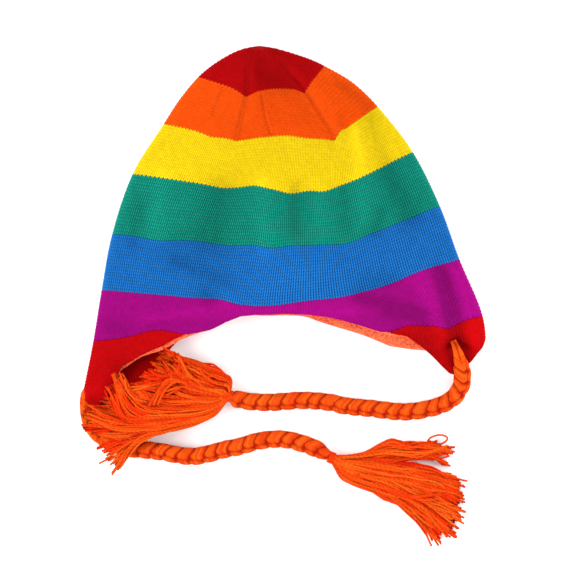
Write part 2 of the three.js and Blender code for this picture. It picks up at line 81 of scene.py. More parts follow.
# Lines of the hat seen from above: level, then x and y of the left fold, left dart, middle,
# right dart and right fold, then fold radius, rise of the front and sags at the two darts
SECTIONS = np.array([
    [0, -18.2, 120, -18.2, 120, -18.2, 120, -18.2, 120, -18.2, 120, 8, 0, 0, 0],
    [0.06, -26.6, 118.6, -22.8, 117.9, -17.5, 117.8, -12.6, 117.9, -8.8, 118.6, 8, 0.5, 0, 0],
    [0.25, -37.1, 114.8, -25.2, 112.7, -15.4, 112, -5.6, 112.7, 3.4, 115.3, 8, 3, 0.6, 0.3],
    [0.6, -50.4, 106.8, -26.6, 101.5, -13.3, 100.8, 2, 102.2, 17.4, 110.6, 8, 8, 2.8, 2.4],
    [1, -60.9, 98, -27.3, 87.5, -7.7, 88.9, 13.2, 90.3, 27.9, 105.7, 8, 13, 4.2, 4.4],
    [1.5, -73.5, 82.9, -30.8, 70.7, -4.2, 72.8, 24.4, 74.2, 47.5, 94.1, 8, 17, 3.4, 5.2],
    [2, -85.1, 65.1, -34.3, 54.6, -0.8, 56, 34.2, 58.1, 65, 77.3, 8, 20, 2.2, 5.4],
    [3, -106.8, 30.1, -44.1, 21, -4.2, 18.9, 37, 21, 89.5, 45.5, 8, 22, 1.4, 0],
    [4, -121.1, -11.9, -57.4, -17.5, -7, -20.3, 43.3, -16.8, 108.4, 7.7, 8, 21, 0, 0],
    [5, -128.5, -51.1, -65.1, -56.7, -12.6, -62.3, 49.7, -53.9, 122.1, -29.4, 7.5, 17, 0, 0],
    [6, -134.4, -86.8, -72.1, -82.6, -13.3, -94.5, 59.4, -83.3, 138.5, -69.3, 6.4, 9, 0, 0],
    [7, -140.7, -118.3, -79.1, -114.8, -14, -126.7, 63.7, -116.2, 141.3, -101.5, 5.7, 0.5, 0, 0],
])
X_COLUMNS = (1, 3, 5, 7, 9)
Y_COLUMNS = (2, 4, 6, 8, 10)
FOLD_COLUMN, PUFF_COLUMN, DIP_LEFT_COLUMN, DIP_RIGHT_COLUMN = 11, 12, 13, 14
LEVELS = SECTIONS[:, 0]
LINE_KNOTS = np.array([-1.0, -DART_U, 0.0, DART_U, 1.0])

# Level of the cut edge from the left fold (-1) to the right fold (1), front and back
FRONT_RIM = np.array([
    [-1, 7.3], [-0.94, 7.42], [-0.87, 7.49], [-0.83, 7.2], [-0.78, 6.65], [-0.675, 6.46], [-0.545, 6.3],
    [-0.46, 6.09], [-0.38, 5.92], [-0.3, 5.74], [-0.22, 5.45], [-0.14, 5.25], [-0.06, 5.17], [0.08, 5.17],
    [0.21, 5.26], [0.28, 5.36], [0.34, 5.5], [0.41, 5.7], [0.475, 5.89], [0.56, 6.08], [0.62, 6.2],
    [0.675, 6.39], [0.72, 6.6], [0.776, 6.92], [0.81, 7.09], [0.84, 7.14], [0.925, 6.92], [0.985, 6.66],
    [1, 6.5],
])
BACK_RIM = np.array([
    [-1, 7.3], [-0.9, 7.46], [-0.8, 7.44], [-0.65, 7.12], [-0.56, 6.8], [-0.52, 6.42], [-0.46, 6.1],
    [-0.38, 5.82], [-0.22, 5.36], [-0.1, 5.1], [0.05, 5.06], [0.2, 5.25], [0.36, 5.73], [0.53, 6.24],
    [0.62, 6.37], [0.74, 6.5], [0.9, 6.55], [1, 6.5],
])

# Folds and creases of the front: from u and level, to u and level, half width and rise
FOLDS = [
    (-0.82, 2.95, -0.74, 3.85, 6, 1.6), (-0.88, 3.5, -0.86, 4.1, 5, -1.4),
    (-0.46, 3.1, -0.42, 3.75, 13, -2), (-0.13, 2.9, -0.05, 4, 8, 1.8),
    (0.126, 2.9, 0.125, 3.7, 5, -1.6), (0.3, 3, 0.31, 3.75, 6, 1.6),
    (0.48, 3.1, 0.46, 3.7, 4, -1.3), (0.64, 2.1, 0.59, 3.7, 5.5, 1.7),
    (0.8, 3.1, 0.83, 3.95, 8, -2.2), (0.66, 3.7, 0.62, 3.95, 5, -1.6),
    (0.82, 2.1, 0.8, 2.7, 6, -1),
    (-0.21, 1.13, -0.135, 1.92, 1.6, -1.1), (-0.71, 1.05, -0.69, 1.61, 1.4, -0.8),
    (0.865, 1.45, 0.925, 1.95, 8, -1.2), (-0.1, 0.55, 0.2, 0.9, 18, -0.9),
    (-0.6, 4.35, -0.26, 4.62, 4, -1.3), (-0.6, 4.15, -0.35, 4.15, 11, -0.9),
    (-0.37, 4.9, -0.32, 5.05, 7, -1.6), (0, 4.5, 0.2, 4.5, 12, 1),
    (0.52, 4.85, 0.62, 4.95, 7, -1.2), (-0.66, 5.65, -0.21, 5.15, 7, 2),
    (-0.9, 5.7, -0.8, 5.85, 6, -1.2), (-0.2, 5.15, 0.38, 5.34, 7, 2.2),
    (0.46, 5.08, 0.73, 5.72, 4.5, -2), (0.56, 5.55, 0.72, 5.95, 4.5, -1.8),
    (0.79, 5.1, 0.78, 5.95, 6, 2), (0.885, 5.15, 0.845, 6.35, 5.5, -4),
    (0.965, 5.2, 0.945, 6.5, 7, 2.4), (0.85, 6.42, 0.885, 6.55, 4.5, -3.4),
    (0.8, 6.2, 0.79, 6.8, 5, 1.4), (0.58, 6, 0.64, 6.25, 6, -1.2), (0.845, 6.6, 0.87, 7, 4, -2.4),
    (-0.9, 7.15, -0.86, 7.3, 9, 2.2), (0.7, 6.35, 0.76, 6.75, 8, -1.6),
]
# Painted light and shade of the folds: rise in millimetres across its whole range, and its value on
# unfolded knitting
FOLD_SHADE_RANGE = 5.0
PLAIN_FOLD = 0.5
MM_PER_U = 110.0
MM_PER_LEVEL = 33.0
# Waves of the stripes on the front: centre u and level, half widths in u and levels, shift to the crown
STRIPE_WAVES = [
    (-0.64, 2, 0.08, 0.4, -2), (0.25, 2, 0.14, 0.5, -2.2), (0.52, 2, 0.05, 0.3, 2.4),
    (-0.2, 3, 0.1, 0.45, 1.8), (0.09, 3, 0.11, 0.45, -3), (0.34, 3, 0.09, 0.4, -1.8),
    (-0.72, 4, 0.1, 0.4, -2), (-0.3, 4, 0.1, 0.4, -1.5), (-0.02, 4, 0.08, 0.4, -1.8),
    (0.45, 4, 0.1, 0.4, -2), (-0.28, 5, 0.1, 0.3, 1.7), (0.2, 5, 0.12, 0.2, 1.4),
    (0.78, 5, 0.1, 0.4, 1.6), (-0.6, 6, 0.13, 0.3, 3.4), (0.63, 6, 0.07, 0.25, 2.6),
    (0.83, 6, 0.06, 0.4, -4.2),
]
# Right part of the front's edge, which droops: across it and down it
DROOP_ACROSS = (0.48, 0.66, 0.74, 1.0)
DROOP_LEVELS = (6.3, 7.1)
DROOP_FALL = 3.8

# Stitches: wales are columns of Vs round the hat, courses are rows of them
WALES = 160
DART_WALES = 17
WALE_STEPS = 4
COURSE_STEPS = 3
STITCH_DEPTH = 1.2
STITCH_RISE = 0.3
STITCH_SLANT = 0.6
STITCH_ROUNDING = 0.8
STITCH_SADDLE = 0.4
STITCH_START_LEVEL = 0.12
SLANT_START_LEVEL = 0.2
TOP_GAIN = 1.5
SIDE_RELIEF = 0.45
SIDE_TURN = 0.4
SEAM_DEPTH = 0.5
# Painted stitch shade on the dart seams
SEAM_STITCH_SHADE = 0.45
SEAM_WALES = 0.6
# Width over which the painted fold shade darkens towards a dart seam
SEAM_SHADE_WALES = 1.3
SEAM_END_LEVEL = 2.0
HEM_ANGLES = np.radians([45, 90, 135])
HEM_LEVEL = 0.03
HEM_GROW = 0.06
# Painted stitch shade on the turned hem
HEM_RIDGE = 0.7
INNER_ROWS = 5
# Painted stitch shade on the inner face of the knit
INNER_RIDGE = 0.4
NO_LIMIT = 9.0
ALL_WALES = np.arange(WALES * WALE_STEPS) / WALE_STEPS
# Closed stripes: piece, node, slot, level at the top and bottom, courses
STRIPES = [
    ("knit_red_crown", "stripe_red_crown", "yarn_red", 0, 1, 15),
    ("knit_orange", "stripe_orange", "yarn_orange", 1, 2, 16),
    ("knit_yellow", "stripe_yellow", "yarn_yellow", 2, 3, 17),
    ("knit_green", "stripe_green", "yarn_green", 3, 4, 18),
    ("knit_blue", "stripe_blue", "yarn_blue", 4, 5, 18),
]
PURPLE_COURSES = 15
# Flaps: piece, node and the column at the middle
FLAPS = [("knit_flap_left", "flap_red_left", 0), ("knit_flap_right", "flap_red_right", WALES // 2)]
FLAP_COURSES = 24
FLAP_DEPTH = 1.6
FLAP_MARGIN = 0.04

# Fleece lining, and where it shows more or less below the edge: centre u, half width and how much
LINING_COLUMNS = 300
LINING_ROWS = 40
LINING_RIM_LEVEL = 5.0
LINING_RIM_ROWS = 20
LINING_PEEKS = [(-0.5, 0.12, 2.0), (-0.76, 0.05, 1.2), (-0.93, 0.06, -3.0),
                (0.68, 0.07, -2.0), (0.8, 0.1, -2.2), (0.95, 0.08, -2.2)]
LINING_BARE = 0.8
LINING_BARE_ACROSS = (-0.97, -0.85, -0.5, -0.36)
LINING_EDGE = 0.6
PILE_SCALE = 0.45
PILE_LIMIT = 0.8
PILE_RISE = 0.35
PILE_START_LEVEL = 0.3

# Ties: routes from the flaps to the tassels, the same as the part's. The right one comes out of a
# hole, so its start dives and its first stretch lies lower; the left one is tucked into its flap.
TIE_START_SIZE = 0.35
TIE_END_SIZE = 0.5
TIE_FLOOR_GAP = 0.1
ROUTE_POINTS = 2000
TIE_LEFT_ROUTE = np.array([
    [-136, -120.4, 6.7], [-137.5, -131, 6.7], [-135.2, -144.6, 6.7], [-126.6, -154.8, 6.7],
    [-111.8, -160.9, 6.7], [-94.5, -163.1, 6.7], [-84, -164.5, 6.7], [-73.5, -166.6, 6.7],
    [-63, -167.3, 6.7], [-52.5, -165.2, 6.7], [-42, -162.4, 6.7], [-31.5, -160.3, 6.7],
    [-21, -157.1, 6.7], [-10.5, -155.4, 6.7], [-0.1, -155.4, 6.7], [10.4, -157.8, 6.7],
    [20.9, -161.6, 6.7], [29.3, -166.4, 6.7],
])
TIE_RIGHT_ROUTE = np.array([
    [118.5, -89, 24], [121.5, -98.5, 20.8], [123.5, -108.4, 15.6], [122.9, -118, 9.2],
    [117.5, -126.4, 6.7], [107.9, -131.8, 6.7], [94.4, -135.1, 6.7], [83.9, -136.1, 6.7],
    [73.4, -135.4, 6.7], [62.9, -134, 6.7], [52.4, -133, 6.7], [41.9, -131.9, 6.7],
    [31.4, -129.5, 6.7], [20.9, -128.4, 6.7], [10.4, -128.1, 6.7], [-0.1, -128.8, 6.7],
    [-10.5, -129.5, 6.7], [-21, -129.2, 6.7], [-29.4, -128.1, 6.9], [-35.3, -126.6, 7.2],
])
TIE_LEFT_TUCK = (-134.6, -114.0, 7.6)
TIE_RIGHT_TUCK = (117.4, -86.4, 24.4)
# Plait: rows of leaning lobes round a core, each with its middle and half width in degrees, lean and shift
PLAIT_ROWS = [(26, 74, 1, 0), (-94, 60, -1, 0.5), (152, 74, 1, 0.5)]
PLAIT_PITCH = 9.2
PLAIT_LEAN = 5.2
PLAIT_HOOK = 2.2
HOOK_PLACE = radians(31)
HOOK_ROUNDING = 0.03
PLAIT_CORE = 4.9
PLAIT_LOBE = 1.7
LOBE_OVERLAP = 1.08
LOBE_POWER = 3
LOBE_JITTER = 0.08
JITTER_PACE = 1.9
LOBE_YARNS = 6
EDGE_FILL = 0.5
EDGE_POWER = 8
# Painted shade in the creases between the lobes, at the edges of the rows and in the grooves between the
# yarns
OPEN_RANGE = (0.12, 0.95)
GROOVE_SHADE = 0.3
ROW_SHADE = 0.75
LOOSE_STRANDS = np.radians([60, -60, 180])
LOOSE_HALF = radians(60)
LOOSE_DEPTH = 0.8
LOOSE_POWER = 2.4
LOOSE_YARNS = 5
LOOSE_SHARE = 0.6
LOOSE_BLEND = 8
YARN_GROOVE = 0.45
PLAIT_STEP = 0.42
PLAIT_COLUMNS = 56
PLAIT_TONES = 97

# Yarns of the tassels, gathered in locks
TASSEL_YARN_RADIUS = 0.76
TASSEL_STEPS = 32
TASSEL_SIDES = 5
TASSEL_FLOOR_GAP = 0.15
PLY_PITCH = 3.2
CAP_WIDTH = 0.4
CAP_HEIGHT = 0.004
CAP_PLACES = (0.002, 0.996)
LOCK_YARNS = 6
LOCK_WANDER = np.array([0.3, 1.0, 1.6, 1.8])
YARN_WANDER = np.array([0.3, 0.6, 0.9, 1.3])
WANDER_AXES = np.array([1.0, 1.0, 0.5])
TIP_LENGTHS = (0.74, 1.02)
ROOT_SPREAD = 2.2
ROOT_BACK = 0.5
LOCK_LAYER = 0.7
YARN_LAYER = 0.3
LIFT_PLACES = (0, 0.06, 0.2, 0.45, 1)
LIFT_HEIGHTS = (0, 1.5, 2.6, 2.6, 1.4)
# Waves: size, how many, and whether the yarns of a lock wave together
YARN_WAVES = ((1.25, 1.6, True), (0.5, 2.6, False), (0.2, 6.0, False))
WAVE_GROW = (0.1, 0.6)
WAVE_SIZES = (0.2, 1.3)
WAVE_PACES = (0.8, 1.25)
WAVE_STARTS = (0, 6.3)
NECK_STEPS = 80
NECK_SIDES = 6
NECK_TURNS = 3.5
NECK_START = -2.4
NECK_RUN = 3.2
NECK_RADIUS = 3.7
NECK_YARN_RADIUS = 0.6
# Painted shade on the yarn that binds the neck
NECK_RIDGE = 0.4
LOOP_STEP = 1.5

# Fans of yarns: how many, and some of its yarns from first to last, each with x, y and z of the four
# points that it passes
TASSEL_RIGHT_FANS = [
    (186, [(-38.5, -114.3, 8, -47, -107.6, 10, -62, -101.4, 11, -84, -94.6, 11),
           (-44, -121, 9, -61, -113.5, 14, -76, -108, 15, -90, -104, 13),
           (-45, -123, 10, -63.5, -117, 15, -80, -112.5, 16, -97, -109.5, 14),
           (-46, -125, 10, -66, -121, 16, -84, -117.5, 17, -102, -116, 15),
           (-46, -127, 10, -70, -127, 16, -92, -123.5, 17, -114, -121, 13),
           (-47, -130, 10, -72, -132.5, 16, -98, -130, 17, -128, -127.5, 10),
           (-48, -134, 10, -76, -138.5, 15, -104, -137, 17, -134, -136, 13),
           (-49.5, -137, 9, -78, -143.5, 14, -106, -145, 16, -134, -143, 15)]),
    (120, [(-37.9, -114.1, 9, -44.2, -109.2, 12, -59.6, -102.2, 13, -83.4, -94.5, 12),
           (-38.8, -116.2, 10, -47, -111.6, 13, -62, -104.6, 14, -82, -95.8, 14),
           (-40, -119, 11, -51.2, -114.8, 14, -65.2, -107.8, 15, -79.2, -97.3, 15),
           (-44.2, -122.5, 12, -56.8, -118.3, 17, -68.7, -110.6, 18, -76.4, -98.7, 18),
           (-47, -123.9, 13, -59.6, -120.4, 18, -71.5, -113, 19, -84, -103.5, 18),
           (-49.8, -124.6, 13, -62.4, -121.8, 18, -77, -115.8, 19, -91, -108, 18)]),
    (60, [(-50.5, -124.6, 13, -66.6, -120.4, 18, -82, -112.5, 20, -97, -109, 19),
          (-51.9, -126, 13, -69.4, -123.2, 19, -89, -118.3, 21, -107.2, -119, 20),
          (-52.3, -129.1, 13, -72.2, -128.4, 19, -93.2, -128.1, 21, -108.6, -123.2, 20)]),
    (8, [(-56, -123.9, 15, -72.2, -116.2, 21, -87.6, -116.9, 23, -96.7, -130.9, 23),
         (-56, -124.9, 15, -70.2, -118.2, 22, -80.6, -118.9, 24, -88, -128.9, 23)]),
    (100, [(-51, -134.5, 8, -86, -137.5, 12, -115, -134, 12, -137, -134.5, 11),
           (-51.5, -136, 9, -86, -140.5, 13, -114.2, -138, 14, -139, -137, 14),
           (-51.5, -137.5, 9, -84, -144.5, 13, -117, -142.5, 15, -140, -140.5, 15),
           (-51.5, -138.7, 8, -80, -146.3, 13, -113, -149, 15, -136.6, -146.3, 15),
           (-51.5, -139.2, 8, -80, -147, 12, -110, -153, 14, -133, -154, 14)]),
    (52, [(-50, -130.5, 12, -77.1, -132, 18, -101.6, -128.1, 22, -113.5, -107.1, 22),
          (-50.5, -134.5, 12, -78, -138, 18, -107.2, -135.1, 22, -119.8, -112.7, 22),
          (-51, -137.5, 11, -80, -143, 17, -112.1, -140.7, 22, -125.4, -122.5, 22)]),
    (36, [(-51, -137, 10, -82, -143.5, 17, -115, -140.5, 20, -136.6, -137.5, 18),
          (-51.2, -138.3, 10, -82, -145.8, 16, -115, -144.9, 20, -138, -141.5, 18),
          (-51.5, -139.2, 9, -82, -147.4, 15, -114, -150.5, 20, -136.6, -147, 18)]),
    (30, [(-51.5, -139.2, 8, -80, -147.3, 14, -110, -151.9, 17, -134.5, -154.7, 13),
          (-51.5, -139.6, 8, -81, -147.8, 14, -108, -156, 17, -130.3, -167.3, 11),
          (-52, -140, 8, -82, -148.3, 14, -104, -158.6, 17, -123.3, -180.6, 9)]),
    (18, [(-40, -116.5, 9, -51, -110.5, 11, -67, -103.5, 12, -88, -97.5, 11),
          (-42, -119, 9, -54, -113.5, 11, -71, -107, 13, -91, -102.5, 12)]),
]
TASSEL_LEFT_FANS = [
    (36, [(53, -166.5, 8, 75, -158, 9, 90, -161, 7, 109, -162, 4),
          (46.9, -169.5, 8, 72.1, -170.4, 9, 92, -169.3, 7, 113, -167.8, 4)]),
    (190, [(46.9, -169.5, 9, 72.1, -172, 12, 98, -177.2, 11, 118, -182.4, 4),
           (44.8, -174, 10, 71, -181, 13, 97, -190, 12, 123, -200, 4),
           (42.7, -179, 9, 65, -188, 11, 90, -201, 10, 114, -223, 4)]),
    (60, [(54, -165.8, 9, 75, -156.2, 11, 87, -158.8, 9, 110, -158.9, 4),
          (50, -166.8, 10, 74, -161.5, 13, 92, -164, 9, 117, -163.8, 4),
          (46.9, -170.2, 11, 72.1, -170.8, 13, 92, -169.2, 10, 118, -168, 4)]),
    (84, [(45.5, -170.8, 12, 72.1, -173.2, 14, 98, -177.2, 12, 119, -182.8, 5),
          (44.8, -173.6, 13, 72.1, -177.8, 15, 98.7, -183.4, 13, 123.2, -191.8, 5),
          (44.1, -176.4, 13, 70.7, -182.7, 15, 98, -191.1, 13, 123.9, -201.6, 5)]),
    (90, [(44.1, -177.1, 12, 70.7, -184.1, 14, 97.3, -193.2, 12, 124.6, -205.1, 5),
          (42.7, -179.9, 11, 66.5, -188.3, 13, 93.1, -200.9, 11, 122.5, -217, 5),
          (41.3, -182, 10, 63.7, -191.1, 11, 88.2, -203.7, 9, 112.7, -226.1, 5),
          (40.6, -183.4, 8, 60.9, -191.8, 9, 83.3, -200.9, 7, 106.4, -230.3, 4)]),
    (10, [(44, -178, 13, 68, -186, 17, 92, -194, 16, 112, -190, 12),
          (43, -180, 13, 66, -189.5, 16, 86, -198, 15, 104, -197, 13)]),
]
TASSEL_LEFT_LOOPS = [
    np.array([[62, -163.5, 11], [84, -160.5, 8], [97.9, -158.9, 6], [102.1, -154.4, 5],
              [109.1, -152.6, 4.5], [114, -154.7, 4], [111.9, -157.9, 4], [104.9, -160.3, 4.5],
              [90, -163.5, 7], [68, -166.5, 10]]),
    np.array([[50, -183, 8], [57, -189, 6], [64.4, -194.6, 4], [70.7, -198.5, 3],
              [77.7, -198.8, 3], [82.6, -196, 4], [77, -192.5, 5], [64, -188, 7]]),
]
TASSEL_RIGHT_NECK = (-39.6, -125.3, 7.6)
TASSEL_LEFT_NECK = (33.2, -168.8, 7.4)
# Tassels: piece, node, neck, its direction, fans, loops and seed
TASSELS = [
    ("yarn_tassel_right", "tassel_right", TASSEL_RIGHT_NECK, (-1.0, 0.2, 0.05), TASSEL_RIGHT_FANS, [], 11),
    ("yarn_tassel_left", "tassel_left", TASSEL_LEFT_NECK, (0.9, -0.42, 0.0), TASSEL_LEFT_FANS,
     TASSEL_LEFT_LOOPS, 21),
]
# Ties: piece, node, route, which side of it is up in the picture (1 or -1), length of the loose start,
# depths and lengths of its sinks, and the lengths over which it grows and is pinched
TIES = [
    ("braid_right", "tie_right", np.vstack([TIE_RIGHT_TUCK, TIE_RIGHT_ROUTE, TASSEL_RIGHT_NECK]), -1,
     14, [(4.2, 44), (11, 9)], 27, 6),
    ("braid_left", "tie_left", np.vstack([TIE_LEFT_TUCK, TIE_LEFT_ROUTE, TASSEL_LEFT_NECK]), 1,
     48, [(2.2, 60)], 12, 13),
]

# Colours, sRGB
RED = (166, 3, 7)
ORANGE = (233, 77, 7)
YELLOW = (233, 199, 17)
GREEN = (17, 140, 120)
BLUE = (28, 110, 190)
PURPLE = (146, 5, 112)
FLAP_RED = (174, 3, 7)
CORAL = (248, 102, 66)
TIE_ORANGE = (199, 83, 15)
# Painted shade on yarns that lie low in a tassel or in the creases of the plait, and the height from which
# they keep their own colour
TASSEL_PAINTED_SHADE = (1.0, 0.12, 0.06)
TASSEL_CLEAR = 0.92
PLAIT_PAINTED_SHADE = (0.5, 0.1, 0.15)
PLAIT_CLEAR = 0.75
YARN_DARK = (0.9, 0.38, 0.3)
YARN_SHEEN = 0.04
FLEECE_SHEEN = 0.15
STITCH_DARK = (0.88, 0.88, 0.88)
COLOUR_GAIN = 1.3
# Painted shade between the stitches: height on the stitch, and share of its material's depth; painted
# light and shade of the folds and dart seams: fold height and tone
STITCH_SHADES = ((0.0, 1), (0.35, 0.5), (0.85, 0))
FOLD_SHADES = ((0.1, 0.62), (0.5, 0.84), (0.9, 1.0))
# Knits: slot, colour and how dark the painted shade between the stitches is
KNITS = [
    ("yarn_red", RED, 0.35), ("yarn_orange", ORANGE, 0.5), ("yarn_yellow", YELLOW, 0.6),
    ("yarn_green", GREEN, 1.0), ("yarn_blue", BLUE, 1.0), ("yarn_purple", PURPLE, 0.35),
    ("yarn_flap_red", FLAP_RED, 0.3),
]

# Studio: lights with place, size and power, in metres and watts
LIGHTS = [
    ("left_light", (-1.3, -0.1, 0.95), 0.8, 21), ("right_light", (1.35, -0.1, 0.8), 0.8, 17),
    ("front_light", (0.1, -1.4, 1.0), 1.0, 11.5), ("back_light", (0.0, 1.3, 1.3), 1.0, 12),
]
WORLD_STRENGTH = 0.9
FLOOR_SIZE = 4.0


# Objects in the scene
def add_object(name, data):
    thing = bpy.data.objects.new(name, data)
    bpy.context.scene.collection.objects.link(thing)
    return thing


# The camera, before anything else
def add_camera():
    data = bpy.data.cameras.new("camera")
    data.sensor_width = CAMERA_SENSOR
    data.lens = CAMERA_SENSOR * CAMERA_DISTANCE / CAMERA_FRAME
    data.clip_end = CAMERA_CLIP
    camera = add_object("camera", data)
    camera.location = Vector((*CAMERA_CENTRE, CAMERA_FOCUS_HEIGHT + CAMERA_DISTANCE)) * MM
    bpy.context.scene.camera = camera


# Smooth curves through tables
def table_slopes(knots, values):
    slopes = np.empty_like(values)
    width = knots.reshape((-1,) + (1,) * (values.ndim - 1))
    slopes[1:-1] = (values[2:] - values[:-2]) / (width[2:] - width[:-2])
    slopes[0] = (values[1] - values[0]) / (width[1] - width[0])
    slopes[-1] = (values[-1] - values[-2]) / (width[-1] - width[-2])
    return slopes


def cubic(t, span, start, start_slope, end, end_slope):
    t2 = t * t
    t3 = t2 * t
    bent = (t3 - 2 * t2 + t) * span * start_slope + (t3 - t2) * span * end_slope
    return (2 * t3 - 3 * t2 + 1) * start + (3 * t2 - 2 * t3) * end + bent


def find_span(knots, at):
    i = np.clip(np.searchsorted(knots, at, side="right") - 1, 0, len(knots) - 2)
    span = knots[i + 1] - knots[i]
    return i, span, (at - knots[i]) / span


def smooth_through(knots, values, at):
    slopes = table_slopes(knots, values)
    i, span, t = find_span(knots, at)
    if values.ndim > 1:
        t = t[..., None]
        span = span[..., None]
    return cubic(t, span, values[i], slopes[i], values[i + 1], slopes[i + 1])


def smooth_across(values, u):
    slopes = table_slopes(LINE_KNOTS, values)
    i, span, t = find_span(LINE_KNOTS, u)
    ends = [np.take_along_axis(rows, k[None], 0)[0] for k in (i, i + 1) for rows in (values, slopes)]
    return cubic(t, span, *ends)


def smoothstep(value, low, high):
    t = np.clip((value - low) / (high - low), 0, 1)
    return t * t * (3 - 2 * t)


def window(value, start, full, fade, end):
    """1 between full and fade, falling to 0 at start and end."""
    return smoothstep(value, start, full) * (1 - smoothstep(value, fade, end))


def column(index, level):
    return smooth_through(LEVELS, SECTIONS[:, index], level)


# The outer face of the hat, the same as the part's
def dart_tent(u, centre):
    return np.maximum(0, 1 - np.abs(u - centre) / DART_WIDTH) ** DART_SHARPNESS


def plan_point(u, level):
    x = smooth_across(np.stack([column(c, level) for c in X_COLUMNS]), u)
    y = smooth_across(np.stack([column(c, level) for c in Y_COLUMNS]), u)
    sag = column(DIP_LEFT_COLUMN, level) * dart_tent(u, -DART_U)
    sag = sag + column(DIP_RIGHT_COLUMN, level) * dart_tent(u, DART_U)
    return x, y - sag


def half_length_table(side):
    shares = [side * k / LENGTH_PARTS for k in range(LENGTH_PARTS + 1)]
    steps = [plan_point(np.full_like(LENGTH_LEVELS, share), LENGTH_LEVELS) for share in shares]
    return sum(np.hypot(b[0] - a[0], b[1] - a[1]) for a, b in zip(steps, steps[1:]))


HALF_LEFT = half_length_table(-1)
HALF_RIGHT = half_length_table(1)


def half_length(side, level):
    left = np.interp(level, LENGTH_LEVELS, HALF_LEFT)
    right = np.interp(level, LENGTH_LEVELS, HALF_RIGHT)
    return np.maximum(np.where(side < 0, left, right), LEAST_LENGTH)


def fold_radius(half, level):
    return np.minimum(column(FOLD_COLUMN, level), FOLD_SHARE * half)


def fold_rise(u, level):
    rise = np.zeros_like(u)
    across = u * MM_PER_U
    along = level * MM_PER_LEVEL
    for from_u, from_level, to_u, to_level, width, height in FOLDS:
        start_x, start_y = from_u * MM_PER_U, from_level * MM_PER_LEVEL
        run_x = to_u * MM_PER_U - start_x
        run_y = to_level * MM_PER_LEVEL - start_y
        share = ((across - start_x) * run_x + (along - start_y) * run_y) / (run_x ** 2 + run_y ** 2)
        share = np.clip(share, 0, 1)
        off = (across - start_x - share * run_x) ** 2 + (along - start_y - share * run_y) ** 2
        rise += height * np.exp(-off / width ** 2)
    return rise


def fold_depth(turn, level):
    """0 deep in a fold of the front, 1 on top of one; it sets the painted light and shade of the folds."""
    face, u, _, _ = place_on_loop(turn, level)
    rise = np.where(face > 0, fold_rise(u, level), 0)
    return np.clip(PLAIN_FOLD + rise / FOLD_SHADE_RANGE, 0, 1)


def stripe_shift(u, level):
    shift = np.zeros_like(u)
    for centre, middle, across, along, height in STRIPE_WAVES:
        shift += height * np.exp(-(((u - centre) / across) ** 2) - ((level - middle) / along) ** 2)
    return shift


def droop(u, level):
    return DROOP_FALL * window(u, *DROOP_ACROSS) * smoothstep(level, *DROOP_LEVELS)


def place_on_loop(turn, level):
    """turn runs round the hat: 0 left fold, 1 middle of the front, 2 right fold, 3 middle of the back."""
    turn = np.mod(turn, 4)
    face = np.where(turn < 2, 1, -1)
    across = np.where(turn < 2, turn - 1, 3 - turn)
    side = np.where(across < 0, -1, 1)
    half = half_length(side, level)
    radius = fold_radius(half, level)
    run = (1 - np.abs(across)) * (half + radius * FOLD_EXTRA)
    angle = np.minimum(run / radius, pi / 2)
    on_fold = 1 - radius * (1 - np.cos(angle)) / half
    on_flat = 1 - (run - radius * FOLD_EXTRA) / half
    u = side * np.where(angle < pi / 2, on_fold, on_flat)
    return face, u, np.sin(angle), radius


def outer_point(turn, level):
    face, u, rounding, radius = place_on_loop(turn, level)
    x, y = plan_point(u, level)
    y = y + np.where(face > 0, rounding * stripe_shift(u, level), 0)
    centre = column(FOLD_COLUMN, level)
    share = radius / centre
    valley = DART_DEPTH * window(level, *DART_LEVELS) * (dart_tent(u, -DART_U) + dart_tent(u, DART_U))
    relief = rounding * fold_rise(u, level) - valley
    body = column(PUFF_COLUMN, level) * (1 - u * u) + share * relief
    front = centre + radius * rounding + body - droop(u, level)
    z = np.where(face > 0, front, centre - radius * rounding)
    return np.stack([x, y, z], axis=-1)


def unit(vectors):
    return vectors / np.maximum(np.linalg.norm(vectors, axis=-1, keepdims=True), TINY)


def wall_frame(turn, level):
    """Outer point, outward normal and the direction down the hat."""
    safe = np.maximum(level, SAFE_LEVEL)
    along = outer_point(turn + TURN_STEP, safe) - outer_point(turn - TURN_STEP, safe)
    down = outer_point(turn, safe + LEVEL_STEP) - outer_point(turn, safe - LEVEL_STEP)
    normal = unit(np.cross(down, along))
    apex = np.clip(1 - level / APEX_LEVEL, 0, 1)[..., None]
    normal = unit(normal * (1 - apex) + TO_CROWN * apex)
    return outer_point(turn, level), normal, unit(down)


def rim_level(turn):
    face, u, _, _ = place_on_loop(turn, np.full_like(turn, FLAP_LEVEL))
    front = np.interp(u, FRONT_RIM[:, 0], FRONT_RIM[:, 1])
    back = np.interp(u, BACK_RIM[:, 0], BACK_RIM[:, 1])
    return np.where(face > 0, front, back)


# Columns of stitches: evenly spaced round the hat, and cut off at the dart seams in the crown
def gore_widths(side, level):
    """From the middle to a dart, from a dart to the end of the fold, and both together."""
    half = half_length(side, level)
    bend = fold_radius(half, level) * FOLD_EXTRA
    return DART_U * half, (1 - DART_U) * half + bend, half + bend


def gore_share(width, full, level):
    return np.where(level < SEAM_END_LEVEL, np.minimum(1, width / full), 1)


